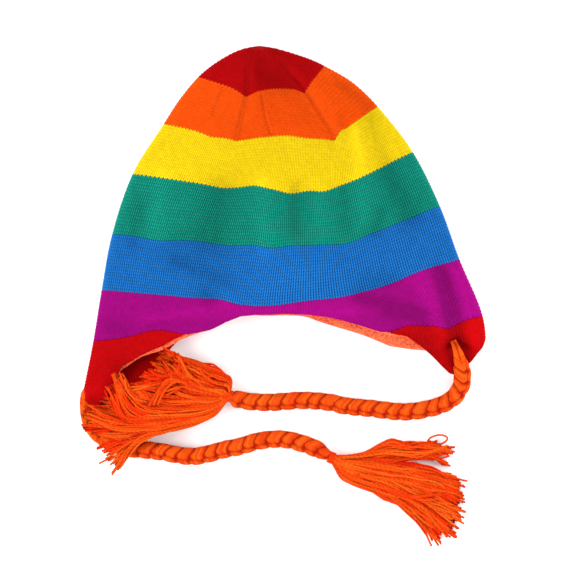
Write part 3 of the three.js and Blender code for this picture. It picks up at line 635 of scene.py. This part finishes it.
def wale_turn(wale, level):
    """Place on the loop of a column of stitches, and how many columns it is from a dart seam."""
    wale = np.mod(wale, WALES)
    quarter = WALES / 4
    is_back = np.floor(wale / (2 * quarter))
    from_middle = np.mod(wale, 2 * quarter) - quarter
    in_middle = np.abs(from_middle) <= DART_WALES
    centre = 2 * is_back + np.where(in_middle, 1, np.where(from_middle < 0, 0, 2))
    offset = wale - centre * quarter
    left = np.where(in_middle, (offset < 0) == (is_back == 0), centre != 2)
    side = np.where(left, -1, 1)
    inner, outer, whole = gore_widths(side, level)
    full_inner, full_outer, _ = gore_widths(side, np.full_like(level, SEAM_END_LEVEL))
    middle_count = DART_WALES * gore_share(inner, full_inner, level)
    side_count = (quarter - DART_WALES) * gore_share(outer, full_outer, level)
    count = np.where(in_middle, middle_count, side_count)
    part = offset / (count + 1e-6)
    dart = 1 - outer / whole
    reach = np.where(in_middle, dart, 1 - dart)
    to_seam = np.maximum(count - np.abs(offset), 0) + np.where(level < SEAM_END_LEVEL, 0, WALES)
    return np.mod(centre + np.clip(part, -1, 1) * reach, 4), to_seam


# Meshes from arrays
def tidy_quads(quads, corners):
    """Drops corners that coincide: quads stay quads or become triangles, slivers go."""
    doubled = quads == np.roll(quads, -1, axis=1)
    crossed = (quads[:, 0] == quads[:, 2]) | (quads[:, 1] == quads[:, 3])
    count = doubled.sum(axis=1)
    whole = (count == 0) & ~crossed
    faces = [(quads[whole], corners[whole])]
    for k in range(4):
        keep = [i for i in range(4) if i != k]
        single = (count == 1) & doubled[:, k] & ~crossed
        faces.append((quads[single][:, keep], corners[single][:, keep]))
    return faces


def merge_points(points):
    keys = np.round(points * MERGE_PER_MM).astype(np.int64)
    _, first, inverse = np.unique(keys, axis=0, return_index=True, return_inverse=True)
    return first, inverse.reshape(-1)


def build_piece(name, points, faces, values, material):
    """points in millimetres; a face group holds corner indices, map places and, for yarns, plies."""
    faces = [group for group in faces if len(group[0])]
    mesh = bpy.data.meshes.new(name)
    loops = np.concatenate([group[0].reshape(-1) for group in faces]).astype(np.int32)
    totals = [np.full(len(group[0]), group[0].shape[1]) for group in faces]
    totals = np.concatenate(totals).astype(np.int32)
    starts = np.concatenate([[0], np.cumsum(totals)[:-1]]).astype(np.int32)
    mesh.vertices.add(len(points))
    mesh.vertices.foreach_set("co", (points * MM).astype(np.float32).reshape(-1))
    mesh.loops.add(len(loops))
    mesh.loops.foreach_set("vertex_index", loops)
    mesh.polygons.add(len(totals))
    mesh.polygons.foreach_set("loop_start", starts)
    mesh.polygons.foreach_set("loop_total", totals)
    mesh.update(calc_edges=True)
    for layer, name_of_map in enumerate(MAPS[:len(faces[0]) - 1]):
        places = np.concatenate([group[layer + 1].reshape(-1, 2) for group in faces])
        mesh.uv_layers.new(name=name_of_map).data.foreach_set("uv", places.astype(np.float32).reshape(-1))
    for key, numbers in values.items():
        mesh.attributes.new(key, "FLOAT", "POINT").data.foreach_set("value", numbers.astype(np.float32))
    mesh.polygons.foreach_set("use_smooth", np.ones(len(totals), dtype=bool))
    mesh.validate()
    mesh.materials.append(material)
    return add_object(name, mesh)


def grid_faces(rows, columns, closed_rows, closed_columns):
    row_spans = rows if closed_rows else rows - 1
    column_spans = columns if closed_columns else columns - 1
    r, c = np.meshgrid(np.arange(row_spans), np.arange(column_spans), indexing="ij")
    quads, corners = [], []
    for dr, dc in ((0, 0), (1, 0), (1, 1), (0, 1)):
        quads.append((((r + dr) % rows) * columns + (c + dc) % columns).reshape(-1))
        place = np.stack([(c + dc) / column_spans, (r + dr) / row_spans], axis=-1)
        corners.append(place.reshape(-1, 2))
    return np.stack(quads, axis=1), np.stack(corners, axis=1)


def grid_piece(name, rows, values, material, closed_rows, closed_columns):
    """A piece over rows of points, with coinciding points merged."""
    points = np.concatenate(rows)
    quads, corners = grid_faces(len(rows), len(rows[0]), closed_rows, closed_columns)
    first, inverse = merge_points(points)
    faces = tidy_quads(inverse[quads], corners)
    values = {key: np.concatenate(numbers)[first] for key, numbers in values.items()}
    return build_piece(name, points[first], faces, values, material)


def place_piece(piece, node):
    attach(piece, "root")
    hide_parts(node)


# Knitting
def stitch_zig(wale):
    return 1 - 4 * np.abs(np.mod(wale, 1) - 0.5)


def stitch_ridge(wale, course):
    across = np.sin(pi * np.mod(2 * wale, 1))
    along = np.sin(pi * np.mod(course, 1))
    return np.abs(across) ** STITCH_ROUNDING * (STITCH_SADDLE + (1 - STITCH_SADDLE) * np.abs(along))


def knit_row(wale, base, course, slant, limit):
    """One row of the outer face: points, levels, how high each lies on its yarn and in the folds, which
    set its painted shade.
    """
    _, to_seam = wale_turn(wale, base)
    zig = slant * stitch_zig(wale) * smoothstep(base, 0, SLANT_START_LEVEL) * np.clip(to_seam, 0, 1)
    level = np.minimum(np.maximum(base + zig, 0), limit)
    turn, to_seam = wale_turn(wale, level)
    point, normal, _ = wall_frame(turn, level)
    whole = smoothstep(to_seam, 0, SEAM_WALES)
    # The stitch's height shapes it and sets the painted shade between the stitches
    ridge = stitch_ridge(wale, course) * whole
    rise = STITCH_RISE - STITCH_DEPTH * (1 - ridge) * whole - SEAM_DEPTH * (1 - whole)
    on_top = np.clip(normal[:, 2] * TOP_GAIN, 0, 1)
    rise = rise * smoothstep(level, 0, STITCH_START_LEVEL) * (SIDE_RELIEF + (1 - SIDE_RELIEF) * on_top)
    rise = rise - STITCH_RISE * np.clip(SIDE_TURN - normal[:, 2], 0, 1)
    # Painted light and shade of the folds, darkest along the dart seams
    fold = fold_depth(turn, level) * smoothstep(to_seam, 0, SEAM_SHADE_WALES)
    return point + normal * rise[:, None], level, ridge + SEAM_STITCH_SHADE * (1 - whole), fold


def hem_rows(wale, level, bulge):
    """The rounded turn of the edge from the outer to the inner side."""
    turn, _ = wale_turn(wale, level)
    point, normal, down = wall_frame(turn, level)
    half = KNIT_THICK / 2
    rows = []
    for angle in HEM_ANGLES:
        sink = half * (1 - cos(angle))
        reach = half * sin(angle) * bulge
        rows.append(point - normal * sink + down * reach[:, None])
    return rows


def knit_band(name, material, top, bottom, courses, wale, closed, limit, hem):
    """A band of knitting between two levels; hem says where its lower edge is turned in."""
    tones = np.random.default_rng(courses).uniform(-1, 1, (courses + 1, WALES))
    stitch = np.mod(np.floor(wale), WALES).astype(int)
    slant = 0.5 * STITCH_SLANT * (bottom - top) / courses
    count = courses * COURSE_STEPS
    rows, levels = [], []
    values = {"ridge": [], "tone": [], "fold": []}

    def add_row(point, *numbers):
        rows.append(point)
        for key, number in zip(values, numbers):
            values[key].append(np.broadcast_to(number, wale.shape))

    for r in range(count + 1):
        base = np.full_like(wale, top + (bottom - top) * r / count)
        point, level, ridge, fold = knit_row(wale, base, r / COURSE_STEPS, slant, limit)
        levels.append(level)
        add_row(point, ridge, tones[r // COURSE_STEPS, stitch], fold)
    if hem is not None:
        for point in hem_rows(wale, levels[-1], hem):
            add_row(point, HEM_RIDGE, 0, PLAIN_FOLD)
    for k in range(INNER_ROWS + 1):
        level = levels[-1] + (levels[0] - levels[-1]) * k / INNER_ROWS
        turn, _ = wale_turn(wale, level)
        point, normal, _ = wall_frame(turn, level)
        add_row(point - normal * KNIT_THICK, INNER_RIDGE, 0, PLAIN_FOLD)
    return grid_piece(name, rows, values, material, True, closed)


def edge_limit(wale):
    turn, _ = wale_turn(wale, np.full_like(wale, FLAP_LEVEL))
    return rim_level(turn) - HEM_LEVEL


def flap_wales(centre):
    reach = np.arange(-WALES // 4 * WALE_STEPS, WALES // 4 * WALE_STEPS + 1) / WALE_STEPS + centre
    below = np.nonzero(edge_limit(reach) > FLAP_LEVEL - FLAP_MARGIN)[0]
    return reach[below[0] - 1:below[-1] + 2]


def flap_zig(wale):
    return 0.5 * STITCH_SLANT / PURPLE_COURSES * stitch_zig(wale)


def add_knit(materials):
    unlimited = np.full_like(ALL_WALES, NO_LIMIT)
    for name, node, slot, top, bottom, courses in STRIPES:
        piece = knit_band(name, materials[slot], top, bottom, courses, ALL_WALES, True, unlimited, None)
        place_piece(piece, node)
    limit = edge_limit(ALL_WALES)
    end = FLAP_LEVEL + flap_zig(ALL_WALES)
    hem = smoothstep(end - limit, 0, HEM_GROW)
    purple = knit_band("knit_purple", materials["yarn_purple"], PURPLE_LEVEL, FLAP_LEVEL, PURPLE_COURSES,
                       ALL_WALES, True, limit, hem)
    place_piece(purple, "stripe_purple")
    for name, node, centre in FLAPS:
        wale = flap_wales(centre)
        limit = edge_limit(wale)
        hem = smoothstep(limit - FLAP_LEVEL - flap_zig(wale), 0, HEM_GROW)
        flap = knit_band(name, materials["yarn_flap_red"], FLAP_LEVEL, FLAP_LEVEL + FLAP_DEPTH,
                         FLAP_COURSES, wale, False, limit, hem)
        place_piece(flap, node)


# Fleece lining
def pile_noise(points):
    seeds = [Vector((p[0] * PILE_SCALE, p[1] * PILE_SCALE, p[2] * PILE_SCALE)) for p in points]
    return np.array([noise.noise(s) for s in seeds])


def lining_end(turn):
    """Level where the lining ends: it peeks out of the front, and lies bare inside the back."""
    face, u, _, _ = place_on_loop(turn, np.full_like(turn, FLAP_LEVEL))
    peek = np.full_like(turn, LINING_PEEK)
    for centre, across, more in LINING_PEEKS:
        peek += more * np.exp(-(((u - centre) / across) ** 2)) * (face > 0)
    end = rim_level(turn) + peek / MM_PER_LEVEL
    return end - LINING_BARE * (window(u, *LINING_BARE_ACROSS) * (face < 0))


def add_lining(materials):
    turn = np.arange(LINING_COLUMNS) * 4 / LINING_COLUMNS
    end = lining_end(turn)
    shares = np.linspace(0, 1, LINING_RIM_ROWS + 1)[1:]
    levels = [np.full_like(turn, LINING_RIM_LEVEL * k / LINING_ROWS) for k in range(LINING_ROWS + 1)]
    levels += [LINING_RIM_LEVEL + (end - LINING_RIM_LEVEL) * s for s in shares]
    outer, inner = [], []
    for level in levels:
        point, normal, _ = wall_frame(turn, level)
        outer.append(point - normal * LINING_TOP)
        base = point - normal * LINING_BOTTOM
        pile = np.clip(pile_noise(base), -PILE_LIMIT, PILE_LIMIT) * PILE_RISE
        pile = pile * smoothstep(level, 0, PILE_START_LEVEL)
        inner.append(base + normal * pile[:, None])
    tip, normal, down = wall_frame(turn, end)
    middle = (LINING_TOP + LINING_BOTTOM) / 2
    edge = tip - normal * middle + down * LINING_EDGE
    rows = outer + [edge] + inner[::-1]
    piece = grid_piece("fleece_lining", rows, {}, materials["fleece_coral"], True, True)
    place_piece(piece, "lining")


# Yarn: round tubes along paths
def path_frame(path):
    tangent = unit(np.gradient(path, axis=-2))
    side = unit(np.cross(tangent, NEARLY_UP))
    return tangent, side, np.cross(side, tangent)


def tube_caps(count, steps, sides, angle):
    """The two end faces of each tube, in a small place of their own on the map."""
    base = np.arange(count)[:, None] * (steps * sides)
    start = base + np.arange(sides)
    end = base + (steps - 1) * sides + np.arange(sides)[::-1]
    spread = np.stack([0.5 + 0.4 * np.cos(angle), 0.5 + 0.4 * np.sin(angle)], axis=-1) * CAP_WIDTH / count
    faces = []
    for ends, shift in zip((start, end), CAP_PLACES):
        cap = np.broadcast_to(spread, (count, sides, 2)).copy()
        cap[..., 0] += np.arange(count)[:, None] / count
        cap[..., 1] = cap[..., 1] * CAP_HEIGHT + shift
        faces.append((ends, cap, cap * 0))
    return faces


def yarn_tubes(paths, radius, sides):
    """Closed tubes along paths (yarn, step, xyz): points, and faces with map places and plies."""
    count, steps, _ = paths.shape
    _, side, up = path_frame(paths)
    angle = np.arange(sides) * 2 * pi / sides
    ring = side[:, :, None] * np.cos(angle)[:, None] + up[:, :, None] * np.sin(angle)[:, None]
    points = paths[:, :, None] + ring * radius
    length = np.linalg.norm(np.diff(paths, axis=1), axis=2).sum(axis=1)
    quads, corners = grid_faces(steps, sides, False, True)
    index = np.arange(count)[:, None, None] * (steps * sides) + quads[None]
    place = np.broadcast_to(corners, (count,) + corners.shape).copy()
    plies = place.copy()
    plies[..., 1] *= (length / PLY_PITCH)[:, None, None]
    place[..., 0] = (place[..., 0] + np.arange(count)[:, None, None]) / count
    walls = tuple(part.reshape(-1, 4, *part.shape[3:])[:, ::-1] for part in (index, place, plies))
    return points, [walls, *tube_caps(count, steps, sides, angle)]


def join_tubes(groups, rng):
    """Tubes as one mesh, each group in its own part of the map. A group holds points by yarn, step and
    side, faces and how open to the light each point lies."""
    points, faces, tones, ridges, offset = [], [], [], [], 0
    for k, (tube, tube_faces, ridge) in enumerate(groups):
        for index, place, plies in tube_faces:
            place = place.copy()
            place[..., 1] = (place[..., 1] + k) / len(groups)
            faces.append((index + offset, place, plies))
        points.append(tube.reshape(-1, 3))
        tone = rng.uniform(-1, 1, len(tube))[:, None, None]
        tones.append(np.broadcast_to(tone, tube.shape[:3]).reshape(-1))
        # How open each yarn lies sets the painted shade on it
        ridges.append(np.broadcast_to(ridge, tube.shape[:3]).reshape(-1))
        offset += len(points[-1])
    return np.concatenate(points), faces, {"tone": np.concatenate(tones), "ridge": np.concatenate(ridges)}


def run_along(points):
    """Distances along a line of points from its start."""
    chords = np.linalg.norm(np.diff(points, axis=0), axis=1)
    return np.concatenate([[0], np.cumsum(chords)])


def along_route(route, step):
    """Even points along a smooth curve through a route, and their distances from its start."""
    knots = run_along(route)
    fine = smooth_through(knots, route, np.linspace(0, knots[-1], ROUTE_POINTS))
    run = run_along(fine)
    marks = np.linspace(0, run[-1], int(run[-1] / step) + 1)
    return np.stack([np.interp(marks, run, fine[:, k]) for k in range(3)], axis=1), marks


# Ties
def wrap(angle):
    return np.mod(angle + pi, 2 * pi) - pi


def yarn_groove(share, yarns):
    """1 on top of a yarn, 0 between two, for a share of the way across a strand."""
    return np.abs(np.sin(pi * share * yarns))


def crease_bend(off):
    """How far along the tie a crease lies, leaning from a hook at the lower edge of its row."""
    bend = np.sin(np.clip(off + HOOK_PLACE, -pi / 2, pi / 2))
    rounded = np.sqrt(bend ** 2 + HOOK_ROUNDING)
    return 0.5 * (PLAIT_LEAN - PLAIT_HOOK) * bend + 0.5 * (PLAIT_LEAN + PLAIT_HOOK) * rounded


def plaited(marks, angle, turn, tones):
    """Height of the plait's lobes, how open they lie for their painted shade, height of the yarns on them,
    and their tones.
    """
    height = np.full((len(marks), len(angle)), -1.0)
    open_sky = np.zeros_like(height)
    groove = np.zeros_like(height)
    tone = np.zeros_like(height)
    for row, (centre, half, lean, shift) in enumerate(PLAIT_ROWS):
        off = wrap(angle - radians(centre))[None]
        place = (marks[:, None] - turn * lean * crease_bend(off)) / PLAIT_PITCH + shift
        place = place + LOBE_JITTER * np.sin(JITTER_PACE * place + row)
        lobe = np.round(place)
        across = 2 * (place - lobe)
        crease = np.abs(across / LOBE_OVERLAP) ** LOBE_POWER
        row_edge = np.abs(off / radians(half)) ** LOBE_POWER
        rise = 1 - crease - row_edge
        share = np.clip((across + 1) / 2, 0, 0.999)
        yarn = (share * LOBE_YARNS).astype(int)
        which = np.mod(lobe.astype(int) * len(PLAIT_ROWS) + row, PLAIT_TONES)
        higher = rise > height
        height = np.where(higher, rise, height)
        open_sky = np.where(higher, 1 - crease - ROW_SHADE * row_edge, open_sky)
        groove = np.where(higher, yarn_groove(share, LOBE_YARNS), groove)
        tone = np.where(higher, tones[which, yarn], tone)
    return height, open_sky, groove, tone


def unplaited(angle):
    """Height of the strands before they are plaited, and of the yarns on them."""
    off = np.array([wrap(angle - centre) for centre in LOOSE_STRANDS])
    off = np.take_along_axis(off, np.abs(off).argmin(axis=0)[None], axis=0)[0]
    across = off / LOOSE_HALF
    return 1 - LOOSE_DEPTH * np.abs(across) ** LOOSE_POWER, yarn_groove((across + 1) / 2, LOOSE_YARNS)


def tie_relief(marks, angle, turn, loose):
    tones = np.random.default_rng(len(marks)).uniform(-1, 1, (PLAIT_TONES, LOBE_YARNS))
    height, open_sky, groove, tone = plaited(marks, angle, turn, tones)
    strand, strand_groove = unplaited(angle)
    woven = smoothstep(marks, loose * LOOSE_SHARE, loose + LOOSE_BLEND)[:, None]
    pairs = ((height, strand), (open_sky, strand), (groove, strand_groove))
    return [woven * plait + (1 - woven) * loose_part[None] for plait, loose_part in pairs], tone


def add_tie(name, node, route, turn, loose, sinks, grow, pinch, tassel, material):
    """The tie is thinner at its start, where it grows, and where the tassel's binding pinches it."""
    centre, marks = along_route(route, PLAIT_STEP)
    for depth, reach in sinks:
        centre[:, 2] -= depth * (1 - smoothstep(marks, 0, reach))
    around = np.arange(PLAIT_COLUMNS) * 2 * pi / PLAIT_COLUMNS
    angle = turn * (around - pi / 2)
    (height, open_sky, groove), tone = tie_relief(marks, angle, turn, loose)
    size = TIE_START_SIZE + (1 - TIE_START_SIZE) * smoothstep(marks, 0, grow)
    size = size * (TIE_END_SIZE + (1 - TIE_END_SIZE) * smoothstep(marks[-1] - marks, 0, pinch))
    level = np.maximum(height, EDGE_FILL * np.abs(np.sin(angle)) ** EDGE_POWER)
    radius = (PLAIT_CORE + PLAIT_LOBE * level - YARN_GROOVE * (1 - groove)) * size[:, None]
    _, side, up = path_frame(centre)
    ring = side[:, None] * np.cos(around)[None, :, None] + up[:, None] * np.sin(around)[None, :, None]
    points = centre[:, None] + ring * radius[..., None]
    points[..., 2] = np.maximum(points[..., 2], TIE_FLOOR_GAP)
    ends = [np.repeat(points[k].mean(axis=0)[None], PLAIT_COLUMNS, axis=0) for k in (0, -1)]
    rows = [ends[0], *points, ends[1]]
    # Painted shade in the creases between the lobes and in the grooves between the yarns
    ridge = smoothstep(open_sky, *OPEN_RANGE) * (GROOVE_SHADE + (1 - GROOVE_SHADE) * groove)
    values = {"ridge": [ridge[0], *ridge, ridge[-1]], "tone": [tone[0], *tone, tone[-1]]}
    piece = grid_piece(name, rows, values, material, False, True)
    place_piece(piece, node)


# Tassels
def fan_points(fan, rng):
    """The points that each yarn of a fan passes, with yarns gathered in locks that stray together."""
    count, guides = fan
    guides = np.array(guides, dtype=float).reshape(-1, 4, 3)
    share = (np.arange(count) + rng.uniform(0, 1, count)) / count * (len(guides) - 1)
    first = np.minimum(share.astype(int), len(guides) - 2)
    share = (share - first)[:, None, None]
    points = guides[first] * (1 - share) + guides[first + 1] * share
    lock = np.arange(count) // LOCK_YARNS
    points += rng.normal(0, 1, (lock[-1] + 1, 4, 3))[lock] * LOCK_WANDER[:, None] * WANDER_AXES
    points += rng.normal(0, 1, points.shape) * YARN_WANDER[:, None] * WANDER_AXES
    length = rng.uniform(*TIP_LENGTHS, count)[:, None]
    points[:, 3] = points[:, 2] + (points[:, 3] - points[:, 2]) * length
    return points


def smooth_yarns(stations, s):
    run = run_along(stations.mean(axis=0))
    count, places, _ = stations.shape
    path = smooth_through(run / run[-1], stations.transpose(1, 0, 2).reshape(places, -1), s)
    return path.reshape(len(s), count, 3).transpose(1, 0, 2)


def fan_paths(neck, towards, fan, rng):
    """Wavy yarns that leave the bound neck, and how high in the tassel each lies, which sets its painted
    shade.
    """
    points = fan_points(fan, rng)
    count = len(points)
    side = unit(np.cross(towards, UP))
    turn = rng.uniform(0, 2 * pi, count)[:, None]
    spread = ROOT_SPREAD * np.sqrt(rng.uniform(0, 1, count))[:, None]
    root = neck - towards * ROOT_BACK + spread * (side * np.cos(turn) + UP * np.sin(turn))
    s = np.linspace(0, 1, TASSEL_STEPS)
    path = smooth_yarns(np.concatenate([root[:, None], points], axis=1), s)
    _, across, up = path_frame(path)
    own = np.arange(count)
    lock = own // LOCK_YARNS
    layer = LOCK_LAYER * rng.uniform(-1, 1, count)[lock] + YARN_LAYER * rng.uniform(-1, 1, count)
    lift = layer[:, None] * np.interp(s, LIFT_PLACES, LIFT_HEIGHTS)
    path = path + UP * lift[..., None]
    grow = smoothstep(s, *WAVE_GROW)
    for size, waves, together in YARN_WAVES:
        same = lock if together else own
        for axis in (across, up):
            height = size * rng.uniform(*WAVE_SIZES, count)[same, None] * grow
            swing = 2 * pi * waves * rng.uniform(*WAVE_PACES, count)[same, None] * s
            start = rng.uniform(*WAVE_STARTS, count)[same, None]
            path = path + axis * (height * np.sin(swing + start))[..., None]
    return path, 0.5 + 0.5 * layer


def neck_binding(neck, towards):
    t = np.linspace(0, 1, NECK_STEPS)
    side = unit(np.cross(towards, UP))
    up = np.cross(side, towards)
    angle = 2 * pi * NECK_TURNS * t
    ring = side * np.cos(angle)[:, None] + up * np.sin(angle)[:, None]
    return (neck + towards * (NECK_START + NECK_RUN * t)[:, None] + ring * NECK_RADIUS)[None]


def add_tassel(name, node, neck, towards, fans, loops, seed, material):
    rng = np.random.default_rng(seed)
    neck = np.array(neck)
    towards = unit(np.array(towards))
    groups = []
    for fan in fans:
        paths, height = fan_paths(neck, towards, fan, rng)
        paths[..., 2] = np.maximum(paths[..., 2], TASSEL_YARN_RADIUS + TASSEL_FLOOR_GAP)
        groups.append((*yarn_tubes(paths, TASSEL_YARN_RADIUS, TASSEL_SIDES), height[:, None, None]))
    groups.append((*yarn_tubes(neck_binding(neck, towards), NECK_YARN_RADIUS, NECK_SIDES), NECK_RIDGE))
    for loop in loops:
        path, _ = along_route(loop, LOOP_STEP)
        groups.append((*yarn_tubes(path[None], TASSEL_YARN_RADIUS, TASSEL_SIDES), 1.0))
    points, faces, values = join_tubes(groups, rng)
    piece = build_piece(name, points, faces, values, material)
    place_piece(piece, node)
    return piece


# Materials
def shade(rgb, gain):
    share = [v / 255 for v in rgb]
    light = [v / 12.92 if v <= 0.04045 else ((v + 0.055) / 1.055) ** 2.4 for v in share]
    return [min(1.0, v * gain) for v in light]


def new_material(name):
    material = bpy.data.materials.new(name)
    material.use_nodes = True
    return material, material.node_tree, material.node_tree.nodes["Principled BSDF"]


def feed(tree, node, inputs):
    """Sets inputs of a node to values, or links them to outputs of other nodes."""
    for name, value in inputs.items():
        if isinstance(value, bpy.types.NodeSocket):
            tree.links.new(value, node.inputs[name])
        else:
            node.inputs[name].default_value = value


def add_node(tree, kind, inputs, output):
    node = tree.nodes.new("ShaderNode" + kind)
    feed(tree, node, inputs)
    return node.outputs[output]


def add_noise(tree, scale, detail):
    place = add_node(tree, "TexCoord", {}, "Object")
    return add_node(tree, "TexNoise", {"Vector": place, "Scale": scale, "Detail": detail}, "Fac")


def add_ramp(tree, factor, stops):
    colour = add_node(tree, "ValToRGB", {"Fac": factor}, "Color")
    points = colour.node.color_ramp.elements
    while len(points) < len(stops):
        points.new(0.5)
    for point, (at, rgb) in zip(points, stops):
        point.position = at
        point.color = (*rgb, 1)
    return colour


def grey(value):
    return (value,) * 3


def add_mottle(tree, scale, detail, dark):
    return add_ramp(tree, add_noise(tree, scale, detail), [(0.3, grey(dark)), (0.7, grey(1.0))])


def multiply(tree, colour, layers):
    for layer in layers:
        mix = tree.nodes.new("ShaderNodeMix")
        mix.data_type = "RGBA"
        mix.blend_type = "MULTIPLY"
        feed(tree, mix, {"Factor": 1.0, "A": colour, "B": layer})
        colour = mix.outputs["Result"]
    return colour


def add_bump(tree, height, strength, distance):
    inputs = {"Height": height, "Strength": strength, "Distance": distance}
    return add_node(tree, "Bump", inputs, "Normal")


def soft_finish(tree, shader, rgb, colour, bump, sheen):
    feed(tree, shader, {
        "Base Color": colour, "Normal": bump, "Roughness": 0.95, "Specular IOR Level": 0.05,
        "Sheen Weight": sheen, "Sheen Roughness": 0.6, "Sheen Tint": (*shade(rgb, COLOUR_GAIN), 1),
    })


def add_attribute(tree, name):
    attribute = tree.nodes.new("ShaderNodeAttribute")
    attribute.attribute_name = name
    return attribute.outputs["Fac"]


def add_math(tree, operation, *values):
    node = tree.nodes.new("ShaderNodeMath")
    node.operation = operation
    feed(tree, node, dict(enumerate(values)))
    return node.outputs["Value"]


def add_tone(tree, dark):
    """Light and dark yarns or stitches, from the tone stored in the mesh."""
    share = add_math(tree, "MULTIPLY_ADD", add_attribute(tree, "tone"), 0.5, 0.5)
    return add_ramp(tree, share, [(0.0, dark), (1.0, grey(1.0))])


def knit_material(name, rgb, depth):
    """Yarn colour with painted shade between the stitches, by depth, painted light and shade of the folds
    and seams, and fine fibres.
    """
    material, tree, shader = new_material(name)
    # Painted shade between the stitches
    stops = [(at, shade(rgb, COLOUR_GAIN - share * depth)) for at, share in STITCH_SHADES]
    colour = add_ramp(tree, add_attribute(tree, "ridge"), stops)
    fibre = add_mottle(tree, 1300, 2, 0.8)
    # Painted light and shade of the folds and dart seams
    fold = add_ramp(tree, add_attribute(tree, "fold"), [(at, grey(tone)) for at, tone in FOLD_SHADES])
    colour = multiply(tree, colour, (fibre, fold, add_tone(tree, STITCH_DARK)))
    bump = add_bump(tree, add_noise(tree, 2200, 3), 0.35, 0.0003)
    soft_finish(tree, shader, rgb, colour, bump, YARN_SHEEN)
    return material


def add_plies(tree):
    """Two plies wound round each yarn: 1 on a ply, 0 in the groove."""
    place = tree.nodes.new("ShaderNodeUVMap")
    place.uv_map = MAPS[1]
    parts = add_node(tree, "SeparateXYZ", {"Vector": place.outputs["UV"]}, "X").node.outputs
    twist = add_math(tree, "MULTIPLY_ADD", parts["X"], 2.0, parts["Y"])
    wave = add_math(tree, "SINE", add_math(tree, "MULTIPLY", twist, pi))
    return add_math(tree, "ABSOLUTE", wave)


def yarn_material(name, rgb, painted_shade, clear, plied):
    """Yarn in slightly different tones, with painted shade where it lies low or in creases; plied where
    each yarn is a tube, with painted shade in the grooves between the plies.
    """
    material, tree, shader = new_material(name)
    strands = add_plies(tree) if plied else add_noise(tree, 900, 3)
    # On plied yarn this paints shade into the grooves between the plies; on the plait it is random fibre
    # tone
    colour = add_ramp(tree, strands, [(0.0, shade(rgb, 0.75)), (0.6, shade(rgb, COLOUR_GAIN))])
    mottle = add_mottle(tree, 90, 3, 0.85)
    fibre = add_mottle(tree, 1500, 2, 0.85)
    # Painted shade on yarns that lie low in a tassel or in the plait's creases
    depth = add_ramp(tree, add_attribute(tree, "ridge"), [(0.0, painted_shade), (clear, grey(1.0))])
    colour = multiply(tree, colour, (depth, mottle, fibre, add_tone(tree, YARN_DARK)))
    bump = add_bump(tree, strands, 0.5, 0.0002)
    soft_finish(tree, shader, rgb, colour, bump, YARN_SHEEN)
    return material


def fleece_material(name, rgb):
    material, tree, shader = new_material(name)
    pile = add_noise(tree, 700, 4)
    colour = add_ramp(tree, pile, [(0.4, shade(rgb, 0.55)), (0.6, shade(rgb, COLOUR_GAIN))])
    bump = add_bump(tree, pile, 0.6, 0.0006)
    soft_finish(tree, shader, rgb, colour, bump, FLEECE_SHEEN)
    return material


def make_materials():
    materials = {name: knit_material(name, rgb, depth) for name, rgb, depth in KNITS}
    materials["fleece_coral"] = fleece_material("fleece_coral", CORAL)
    materials["yarn_tie"] = yarn_material("yarn_tie", TIE_ORANGE, TASSEL_PAINTED_SHADE, TASSEL_CLEAR, True)
    materials["yarn_plait"] = yarn_material("yarn_plait", TIE_ORANGE, PLAIT_PAINTED_SHADE, PLAIT_CLEAR, False)
    return materials


# Studio: pale floor and soft light from four sides
def add_floor():
    material, tree, shader = new_material("floor_pale")
    tone = add_ramp(tree, add_noise(tree, 6, 2), [(0.3, grey(0.93)), (0.7, grey(0.96))])
    feed(tree, shader, {"Base Color": tone, "Roughness": 0.8})
    mesh = bpy.data.meshes.new("floor")
    corners = [(x * FLOOR_SIZE, y * FLOOR_SIZE, 0) for x, y in ((-1, -1), (1, -1), (1, 1), (-1, 1))]
    mesh.from_pydata(corners, [], [(0, 1, 2, 3)])
    mesh.materials.append(material)
    floor = add_object("floor", mesh)


def add_light(name, place, size, power):
    data = bpy.data.lights.new(name, "AREA")
    data.shape = "DISK"
    data.size = size
    data.energy = power
    light = add_object(name, data)
    light.location = place
    light.rotation_euler = (-Vector(place)).to_track_quat("-Z", "Y").to_euler()


def add_studio():
    add_floor()
    for light in LIGHTS:
        add_light(*light)
    world = bpy.data.worlds.new("studio_world")
    world.use_nodes = True
    tree = world.node_tree
    feed(tree, tree.nodes["Background"], {"Color": (1, 1, 1, 1), "Strength": WORLD_STRENGTH})
    bpy.context.scene.world = world
    bpy.context.scene.view_settings.view_transform = "Standard"


def main():
    add_camera()
    materials = make_materials()
    tassels = [add_tassel(*tassel, materials["yarn_tie"]) for tassel in TASSELS]
    for tie, tassel in zip(TIES, tassels):
        add_tie(*tie, tassel, materials["yarn_plait"])
    add_knit(materials)
    add_lining(materials)
    add_studio()


main()
